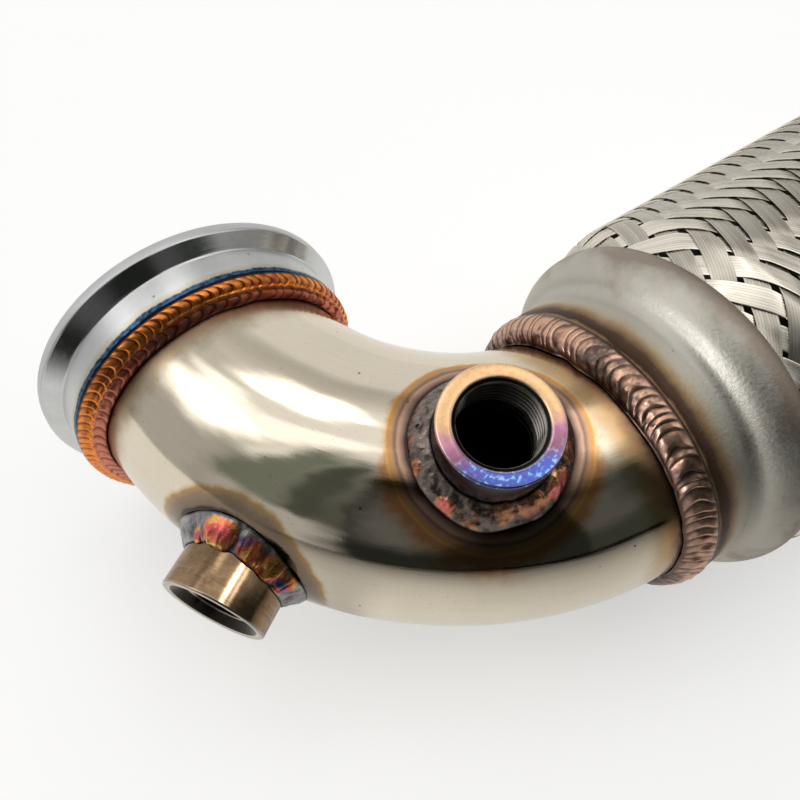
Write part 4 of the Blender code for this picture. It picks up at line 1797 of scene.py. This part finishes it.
    def ribbon(self, family: Family, index: int) -> bpy.types.Object:
        """Lay one ribbon along its helix.

        Args:
            family: which way it winds.
            index: its number in the family.

        Returns:
            The ribbon.
        """
        top_sides = 2 * self.wires
        sides = top_sides + self.under_sides
        rows = (2 * self.columns + 1, self.cell_steps)
        piece, side, share = Bench.rod("ribbon", sides, rows)
        on_top = side <= top_sides
        under = (0.97, 0.50, 0.03)
        below = np.choose(np.clip(side - top_sides - 1, 0, 2), under)
        lane = np.where(on_top, side / top_sides, below)
        along = self.braid_start + share * self.braid_length
        pitch = self.braid_length / (self.columns + 0.5)
        travel = family.value * (along - self.braid_start - pitch) / pitch
        own = index + (lane - 0.5) * self.cover
        angle = math.radians(self.first_row) + (own + travel) * 2 * math.pi / self.carriers
        rise = self.lift * self.weave(family, index, own + 2 * travel)
        wires = np.where(side % 2 == 1, self.wire_rise, -self.wire_rise)
        rise += np.where(on_top, wires, -self.strip)
        radius = self.braid_middle(along) + rise
        line = np.column_stack((along, radius * np.cos(angle), radius * np.sin(angle)))
        Bench.move(piece, line + np.array(self.bend.centre + Vector((0, self.bend.flex_axis, 0))))
        Bench.outward(piece)
        number = index + self.carriers * (family is Family.GREY)
        Bench.mark(piece, "wire", (number + lane) * self.wires)
        Bench.mark(piece, "along", along)
        return piece

    def weave(self, family: Family, index: int, crossing: np.ndarray) -> np.ndarray:
        """Give how high a ribbon rides: 1 over the other family, -1 under it.

        Args:
            family: the ribbon's family.
            index: its number in the family.
            crossing: running number of the ribbon that it crosses.

        Returns:
            The height at each point, eased between crossings.
        """
        last = np.floor(crossing)
        share = np.clip((crossing - last - 0.5) / self.dive + 0.5, 0, 1)
        eased = share * share * (3 - 2 * share)
        repeat = 2 * self.over
        height = np.where((index + last) % repeat < self.over, 1.0, -1.0)
        following = np.where((index + last + 1) % repeat < self.over, 1.0, -1.0)
        return (height + (following - height) * eased) * family.value

    def build_liner(self) -> None:
        """Wind the interlock liner: overlapping steps on its inside."""
        radius = self.liner_radius
        crest = radius - self.liner_wall
        dip = radius - self.liner_wall + self.liner_step
        length = 2 * (self.middle - self.liner_start)
        pitch = length / self.liner_turns
        fold, step, rise = (pitch * share for share in self.liner_fold)
        inner = [(crest, 0.0)]
        for i in range(self.liner_turns):
            low = i * pitch
            inner += [(crest, low + fold), (dip, low + step), (dip, low + rise),
                      (crest, low + pitch)]
        piece = Bench.outline("liner", [(radius, length), (radius, 0.0), *inner])
        Bench.turn(piece, self.liner_sides)
        Bench.smooth(piece)
        piece.data.transform(self.bend.flex_place(self.liner_start))
        finish = PlainSteel("liner_strip", (0.36, 0.34, 0.31), 0.42)
        self.fix(piece, finish, "thin_stainless", "flex_liner")

    def build_outlet(self) -> None:
        """Turn the plain outlet pipe."""
        begin = self.mirrored(self.liner_start) + self.bend.gap
        end = self.start + self.length + self.outlet_length
        bore = self.bend.pipe_radius - self.bend.wall
        piece = Bench.outline("outlet", [
            (self.bend.pipe_radius, end - begin), (self.bend.pipe_radius, 0.0),
            (bore, 0.0), (bore, end - begin)])
        Bench.turn(piece, self.steps)
        Bench.soften(piece, self.outlet_round, 60.0)
        Bench.smooth(piece)
        piece.data.transform(self.bend.flex_place(begin))
        finish = OutletPipe("outlet_pipe_metal", self.bend.flex_place(self.start + self.length),
                            self.outlet_toe, bore)
        self.fix(piece, finish, "polished_stainless", "outlet_pipe")

    def dress_inside(self) -> None:
        """Give the hidden nodes of the frame their finishes."""
        for node, colour in (("flex_bellows", (0.16, 0.15, 0.13)),
                             ("flex_inlet_ring", (0.40, 0.39, 0.37)),
                             ("flex_outlet_ring", (0.40, 0.39, 0.37))):
            piece = frame["nodes"][node]
            piece.data.materials.clear()
            piece.data.materials.append(PlainSteel(node + "_metal", colour, 0.45).material())
            LOG.info("%s: dressed", node)


@dataclass(frozen=True)
class OutletPipe(Finish):
    """Polished pipe with the tint of one weld and a dark inside."""

    place: Matrix
    toe: float
    bore: float

    def paint(self, graph: Graph, shader: bpy.types.Node) -> None:
        """Tint by the weld, then clean polished metal.

        Args:
            graph: the material's graph.
            shader: the Principled shader.
        """
        x, y, z = graph.split(graph.local(self.place))
        radius = x.hypot(y)
        cloud = graph.noise(graph.position(), 45.0, 4.0, 0.6)
        wave = graph.noise(graph.position(), 110.0, 3.0)
        base = graph.ramp(cloud, [(0.3, (0.74, 0.68, 0.56)), (0.7, (0.80, 0.73, 0.60))])
        tint = HeatTint(13.0, 3.0, (
            (0.00, (0.24, 0.14, 0.08)), (0.20, (0.50, 0.30, 0.13)),
            (0.45, (0.48, 0.36, 0.22)), (1.00, (0.74, 0.62, 0.42))))
        colour = tint.over(graph, base, (z - self.toe) / MM, wave)
        outside = radius.rise(self.bore + 0.0002, self.bore + 0.0004)
        colour = graph.mix(outside, (0.14, 0.13, 0.12), colour)
        self.link(graph, shader, colour, 0.45 - outside * 0.33 + (cloud - 0.5) * 0.06)


@dataclass
class Welds(Assembly):
    """The three beads round the pipe."""

    bend: Bend
    flange: VBandFlange
    flex: FlexSection
    flange_width: float = 0.0038
    collar_width: float = 0.0060
    bead_length: float = 2 * math.pi * 0.0345
    flange_passes: tuple[Pass, ...] = (
        Pass(0.30, 0.31, 0.0009, 0.0023, 0.00036), Pass(0.72, 0.28, 0.0006, 0.0030, 0.00016))
    collar_passes: tuple[Pass, ...] = (Pass(0.46, 0.46, 0.0011, 0.0023, 0.00036),)
    collar_waver: float = 0.00034
    collar_jitter: float = 0.8

    def on_pipe(self, angle: np.ndarray, depth: float, swap: bool) -> np.ndarray:
        """Give points on the pipe at a depth from a plane through the bend's centre.

        Args:
            angle: angle round the pipe.
            depth: distance from the plane.
            swap: whether the plane is the one at the end of the bend.

        Returns:
            Rows of x, y and z.
        """
        surface = self.bend.pipe_radius
        reach = self.bend.radius + surface * np.cos(angle)
        side = -np.sqrt(reach ** 2 - depth ** 2)
        level = np.full_like(angle, -depth)
        first, second = (level, side) if swap else (side, level)
        offset = np.column_stack((first, second, surface * np.sin(angle)))
        return offset + np.array(self.bend.centre)

    def build(self) -> None:
        """Lay the flange's bead, the collar's bead and the outlet's bead."""
        bend, flange, flex = self.bend, self.flange, self.flex
        centre = np.array(bend.centre)
        hub = flange.hub_radius
        neck = flex.neck_radius
        depth = flange.socket_depth + bend.gap / 3
        overlap = bend.neck_overlap + bend.gap / 3
        end = flex.start + flex.length + bend.gap / 3

        def hub_edge(angle: np.ndarray) -> np.ndarray:
            """Give the edge of the flange's hub."""
            return np.column_stack((-bend.radius - hub * np.cos(angle), np.full_like(angle, -depth),
                                    hub * np.sin(angle))) + centre

        def neck_edge(angle: np.ndarray) -> np.ndarray:
            """Give the edge of the first collar's neck."""
            return np.column_stack((np.full_like(angle, -overlap),
                                    bend.flex_axis - neck * np.cos(angle),
                                    neck * np.sin(angle))) + centre

        def outlet_ring(radius: float, along: float) -> Callable[[np.ndarray], np.ndarray]:
            """Give a function for a ring round the flex axis.

            Args:
                radius: the ring's radius.
                along: its place along the axis.

            Returns:
                The function, which turns angles into points.
            """
            def ring(angle: np.ndarray) -> np.ndarray:
                """Give points of the ring."""
                return np.column_stack((np.full_like(angle, along),
                                        bend.flex_axis + radius * np.cos(angle),
                                        radius * np.sin(angle))) + centre
            return ring

        copper = RippledBead(
            "copper_bead", crest=(0.92, 0.30, 0.07), second=(0.62, 0.22, 0.15),
            groove=(0.13, 0.03, 0.02), dull=(0.62, 0.15, 0.08), line=(0.03, 0.02, 0.02),
            patches=60.0)
        bronze = RippledBead(
            "bronze_bead", crest=(0.66, 0.40, 0.29), second=(0.44, 0.27, 0.21),
            groove=(0.055, 0.035, 0.03), dull=(0.17, 0.125, 0.11), line=(0.10, 0.06, 0.05),
            patches=42.0)
        SeamWeld("flange_bead", "flange_weld", copper, hub_edge,
                 lambda a: self.on_pipe(a, depth, False),
                 lambda a: self.on_pipe(a, depth + self.flange_width, False),
                 self.bead_length, self.flange_passes).build()
        SeamWeld("collar_bead", "collar_weld", bronze, neck_edge,
                 lambda a: self.on_pipe(a, overlap, True),
                 lambda a: self.on_pipe(a, overlap + self.collar_width, True),
                 self.bead_length, self.collar_passes, self.collar_waver,
                 self.collar_jitter).build()
        SeamWeld("outlet_bead", "outlet_weld", bronze, outlet_ring(neck, end),
                 outlet_ring(bend.pipe_radius, end),
                 outlet_ring(bend.pipe_radius, end + self.collar_width),
                 self.bead_length, self.collar_passes, self.collar_waver,
                 self.collar_jitter).build()


@dataclass(frozen=True)
class Card:
    """Patch of the studio's surroundings, by compass and height in degrees."""

    compass: tuple[float, float]
    height: tuple[float, float]
    soft: tuple[float, float]
    colour: Colour
    strength: float


@dataclass(frozen=True)
class Lamp:
    """Small lamp for some of the pieces, by compass, height and distance from the first."""

    name: str
    pieces: tuple[str, ...]
    compass: float
    height: float
    distance: float
    along: Vector
    length: float
    width: float
    power: float


@dataclass
class Studio:
    """Camera, floor, surroundings and small lamps."""

    focal_length: float = 30.25
    sensor: float = 36.0
    eye: Vector = field(default_factory=lambda: Vector((-0.13315, -0.05148, 0.19274)))
    right: Vector = field(default_factory=lambda: Vector((0.8149, -0.5792, 0.0202)))
    up: Vector = field(default_factory=lambda: Vector((0.4838, 0.6991, 0.5265)))
    back: Vector = field(default_factory=lambda: Vector((-0.3191, -0.4193, 0.8499)))
    near: float = 0.01
    floor_radius: float = 1.4
    floor_sides: int = 96
    floor_drop: float = 0.0002
    floor_light: float = 0.44
    mirrored_light: float = 0.50
    fade_start: float = 0.75
    sway: Point = (16, 10)
    white: Colour = (1.0, 0.99, 0.97)
    shade: Colour = (0.90, 1.0, 0.84)
    cards: tuple[Card, ...] = (
        Card((-195, -116), (-30, 68), (8, 8), shade, 0.020),
        Card((143, 195), (-30, 50), (7, 8), shade, 0.045),
        Card((95, 142), (28, 56), (10, 8), white, 0.85),
        Card((-60, 60), (-30, 42), (6, 6), white, 0.80),
        Card((-118, -100), (14, 72), (5, 7), shade, 0.08),
        Card((-102, -82), (14, 72), (5, 7), shade, 0.20),
        Card((-82, -58), (-30, 34), (5, 8), white, 0.46),
        Card((-117, -84), (-30, 17), (6, 3), white, 0.46),
        Card((-150, -124), (14, 54), (6, 7), white, 0.11),
        Card((164, 196), (14, 42), (6, 6), white, 0.09),
        Card((-74, -40), (36, 62), (6, 7), white, 2.0),
        Card((-78, -48), (60, 84), (6, 5), white, 1.5),
        Card((-15, 26), (59, 73), (5, 3), white, 2.6),
        Card((-42, -26), (53, 62), (4, 3), white, 1.7),
        Card((-86, -79), (42, 62), (3, 5), white, 1.0),
        Card((60, 140), (56, 69), (12, 3), white, 1.7),
    )
    shaded: Point = (-132.0, -104.0)
    shaded_soft: float = 10.0
    shaded_share: float = 0.3
    shaded_centre: float = 0.10

    def build(self) -> None:
        """Set up the studio."""
        bpy.context.scene.view_settings.view_transform = "Standard"
        self.place_camera()
        self.lay_floor()
        self.hang_surroundings()

    def place_camera(self) -> None:
        """Put the camera where the photograph was taken."""
        data = bpy.data.cameras.new("camera")
        data.lens = self.focal_length
        data.sensor_width = self.sensor
        data.clip_start = self.near
        camera = bpy.data.objects.new("camera", data)
        turned = Matrix((self.right, self.up, self.back)).transposed().to_4x4()
        camera.matrix_world = Matrix.Translation(self.eye) @ turned
        bpy.context.scene.collection.objects.link(camera)
        bpy.context.scene.camera = camera

    def lay_floor(self) -> None:
        """Lay a round white floor that keeps a soft shadow, and darkens away in reflections."""
        Bench.clear()
        bpy.ops.mesh.primitive_circle_add(
            vertices=self.floor_sides, radius=self.floor_radius, fill_type="NGON",
            location=(0, 0, -self.floor_drop))
        floor = Bench.take("floor")
        material = bpy.data.materials.new("floor")
        material.use_nodes = True
        graph = Graph(material.node_tree)
        graph.tree.nodes.clear()
        x, y, _ = graph.split(graph.position())
        fade = graph.ramp(y + self.fade_start, [
            (0.00, (0.0, 0.0, 0.0)), (0.25, (0.15, 0.15, 0.14)), (0.45, (0.32, 0.31, 0.30)),
            (0.55, (0.48, 0.47, 0.45)), (0.65, (0.74, 0.73, 0.71)), (0.72, (0.95, 0.94, 0.91))])
        compass = (x + self.shaded_centre).math("ARCTAN2", y) * math.degrees(1)
        shaded = compass.band(*self.shaded, self.shaded_soft) * self.shaded_share
        fade = graph.mix(shaded, fade, (0.0, 0.0, 0.0))
        dark = graph.mix(0.4, fade, (0.0, 0.0, 0.0))
        reflected = self.glow(graph, dark, fade, self.mirrored_light)
        seen = self.glow(graph, (0.80, 0.80, 0.80, 1.0), (0.99, 0.995, 1.0, 1.0),
                         self.floor_light)
        camera_ray = graph.node("ShaderNodeLightPath").outputs["Is Camera Ray"]
        chosen = graph.node("ShaderNodeMixShader", inputs={0: camera_ray, 1: reflected, 2: seen})
        graph.node("ShaderNodeOutputMaterial", inputs={"Surface": chosen.outputs[0]})
        floor.data.materials.append(material)

    def glow(self, graph: Graph, colour: Input, light: Input,
             strength: float) -> bpy.types.NodeSocket:
        """Give a matt surface that also shines.

        Args:
            graph: the material's graph.
            colour: colour of the surface.
            light: colour of its light.
            strength: strength of its light.

        Returns:
            The shader's socket.
        """
        matt = graph.node("ShaderNodeBsdfDiffuse", inputs={"Color": colour})
        lit = graph.node("ShaderNodeEmission", inputs={"Color": light, "Strength": strength})
        added = graph.node("ShaderNodeAddShader", inputs={0: matt.outputs[0], 1: lit.outputs[0]})
        return added.outputs[0]

    def hang(self, lamp: Lamp) -> None:
        """Hang a small lamp that lights only some of the pieces.

        Args:
            lamp: the lamp.
        """
        lit = bpy.data.collections.new(lamp.name)
        for name in lamp.pieces:
            lit.objects.link(bpy.data.objects[name])
        data = bpy.data.lights.new(lamp.name, "AREA")
        data.shape = "RECTANGLE"
        data.size = lamp.length
        data.size_y = lamp.width
        data.energy = lamp.power
        light = bpy.data.objects.new(lamp.name, data)
        corners = [Vector(corner) for corner in lit.objects[lamp.pieces[0]].bound_box]
        middle = sum(corners, Vector()) / len(corners)
        turned = Matrix.Rotation(math.radians(-lamp.compass), 3, "Z") \
            @ Matrix.Rotation(math.radians(lamp.height), 3, "X")
        away = turned @ Vector((0.0, 1.0, 0.0))
        light.matrix_world = axis_place(middle + away * lamp.distance, away, lamp.along)
        bpy.context.scene.collection.objects.link(light)
        light.light_linking.receiver_collection = lit

    def hang_surroundings(self) -> None:
        """Paint the surroundings: a soft grey room with bright and dark cards, edges wavy."""
        world = bpy.data.worlds.new("studio")
        world.use_nodes = True
        bpy.context.scene.world = world
        graph = Graph(world.node_tree)
        graph.tree.nodes.clear()
        direction = graph.node("ShaderNodeTexCoord").outputs["Generated"]
        x, y, z = graph.split(direction)
        waver = graph.noise(direction, 5.0, 3.0, 0.6)
        compass = x.math("ARCTAN2", y) * math.degrees(1) + (waver - 0.5) * self.sway[0]
        height = z.math("ARCSINE") * math.degrees(1) + (waver - 0.5) * self.sway[1]
        room = graph.ramp(height / 90, [
            (0.0, (0.30, 0.29, 0.27)), (0.35, (0.35, 0.34, 0.32)), (0.60, (0.60, 0.59, 0.56)),
            (0.72, (0.92, 0.91, 0.88)), (1.0, (1.05, 1.04, 1.02))])
        for card in self.cards:
            mask = (compass.band(*card.compass, card.soft[0])
                    * height.band(*card.height, card.soft[1]))
            room = graph.mix(mask, room, shade(card.colour, card.strength))
        camera_ray = graph.node("ShaderNodeLightPath").outputs["Is Camera Ray"]
        colour = graph.mix(Field(graph, camera_ray), room, (1.0, 1.0, 1.0))
        light = graph.node("ShaderNodeBackground", inputs={"Color": colour, "Strength": 1.0})
        graph.node("ShaderNodeOutputWorld", inputs={"Surface": light.outputs[0]})


def main() -> None:
    """Build the studio and every piece."""
    logging.basicConfig(level=logging.INFO, format="%(name)s: %(message)s")
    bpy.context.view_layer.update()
    studio = Studio()
    studio.build()
    bend = Bend.from_frame()
    upper = SensorBung(
        bend, BungSpot.UPPER, along=57.9, lean=9.3, tilt=0.8,
        finish={"cool_side": Vector((0.12, -0.99, 0.0)), "gold": (0.90, 0.56, 0.30),
                "violet": (0.50, 0.22, 0.34), "blue": (0.11, 0.15, 0.56),
                # The upper bung's wall colours are near black: a dark tint deepened as painted
                # shade, for the shadow by its fillet.
                "wall": (0.05, 0.035, 0.05), "wall_dark": (0.008, 0.007, 0.014),
                "inside": (0.30, 0.28, 0.26), "edge": (0.85, 0.78, 0.72),
                "roughness": 0.20, "sparkle": 0.8},
        fillet={"warm": (0.36, 0.16, 0.14), "hot": (0.62, 0.28, 0.14), "cold": (0.13, 0.16, 0.24),
                "scale": (0.29, 0.235, 0.21), "seed": 0.2,
                "drop": ((1.0, 0.60, 0.28), (1.0, 0.42, 0.22), (0.80, 0.22, 0.20))},
        drops=(Drop(-38, 0.0034, 0.0012, 1.0, 0.55), Drop(-12, 0.0024, 0.0007, 0.45, 0.5),
               Drop(148, 0.0026, 0.0006, 0.0, 0.6), Drop(166, 0.0015, 0.0006, 0.1, 0.8, 0.0011),
               Drop(181, 0.0019, 0.0008, 0.3, 0.72, 0.0013),
               Drop(196, 0.0014, 0.0006, 0.5, 0.82, 0.0010),
               Drop(211, 0.0022, 0.0008, 0.0, 0.66, 0.0015),
               Drop(230, 0.0018, 0.0007, 0.9, 0.74, 0.0012),
               Drop(250, 0.0022, 0.0005, 0.3, 0.6), Drop(272, 0.0030, 0.0006, 0.4),
               Drop(300, 0.0040, 0.0006, 0.5, 0.45)),
        mouth_depth=0.0011)
    side = SensorBung(
        bend, BungSpot.SIDE, along=26.5, lean=88.0, tilt=4.0,
        finish={"cool_side": Vector((0.0, 1.0, 0.0)), "gold": (0.44, 0.40, 0.35),
                "violet": (0.44, 0.40, 0.35), "blue": (0.44, 0.38, 0.30),
                "wall": (0.34, 0.225, 0.13), "wall_dark": (0.15, 0.09, 0.055),
                "inside": (0.06, 0.05, 0.045), "edge": (0.80, 0.72, 0.62),
                "roughness": 0.10, "sparkle": 0.0},
        fillet={"warm": (0.66, 0.13, 0.08), "hot": (0.95, 0.50, 0.15), "cold": (0.04, 0.14, 0.36),
                "scale": (0.40, 0.39, 0.40), "seed": 1.7,
                "drop": ((1.0, 0.74, 0.30), (0.95, 0.32, 0.12), (0.72, 0.14, 0.14))},
        drops=(Drop(101, 0.0042, 0.0019, 1.0), Drop(70, 0.0038, 0.0011, 0.62),
               Drop(48, 0.0030, 0.0010, 0.66), Drop(30, 0.0026, 0.0009, 0.70, 0.55),
               Drop(138, 0.0030, 0.0007, 0.0, 0.6), Drop(126, 0.0014, 0.0006, 0.75, 0.2, 0.0012)),
        mouth_depth=0.0024)
    flange = VBandFlange(bend)
    flex = FlexSection(bend)
    welds = Welds(bend, flange, flex)
    elbow = Elbow(bend, upper, side, flange.socket_depth + welds.flange_width,
                  bend.neck_overlap + welds.collar_width)
    for assembly in (flange, elbow, upper, side, welds, flex):
        assembly.build()
    # The ribbons here are the painted light and painted shade families of one wire.
    near_collar = ("inlet_collar", "collar_bead", "bright_ribbons", "grey_ribbons")
    flex_axis = Vector((1.0, 0.0, 0.0))
    side_axis = side.place.to_3x3().col[2]
    for lamp in (
            Lamp("collar_lamp", near_collar, compass=-85.0, height=15.0, distance=0.26,
                 along=flex_axis, length=0.13, width=0.13, power=0.42),
            Lamp("first_lamp", ("side_bung",), compass=118.0, height=64.0, distance=0.30,
                 along=side_axis, length=0.20, width=0.045, power=0.34),
            Lamp("second_lamp", ("side_bung",), compass=127.0, height=52.0, distance=0.30,
                 along=side_axis, length=0.18, width=0.026, power=0.085)):
        studio.hang(lamp)


if __name__ == "__main__":
    main()
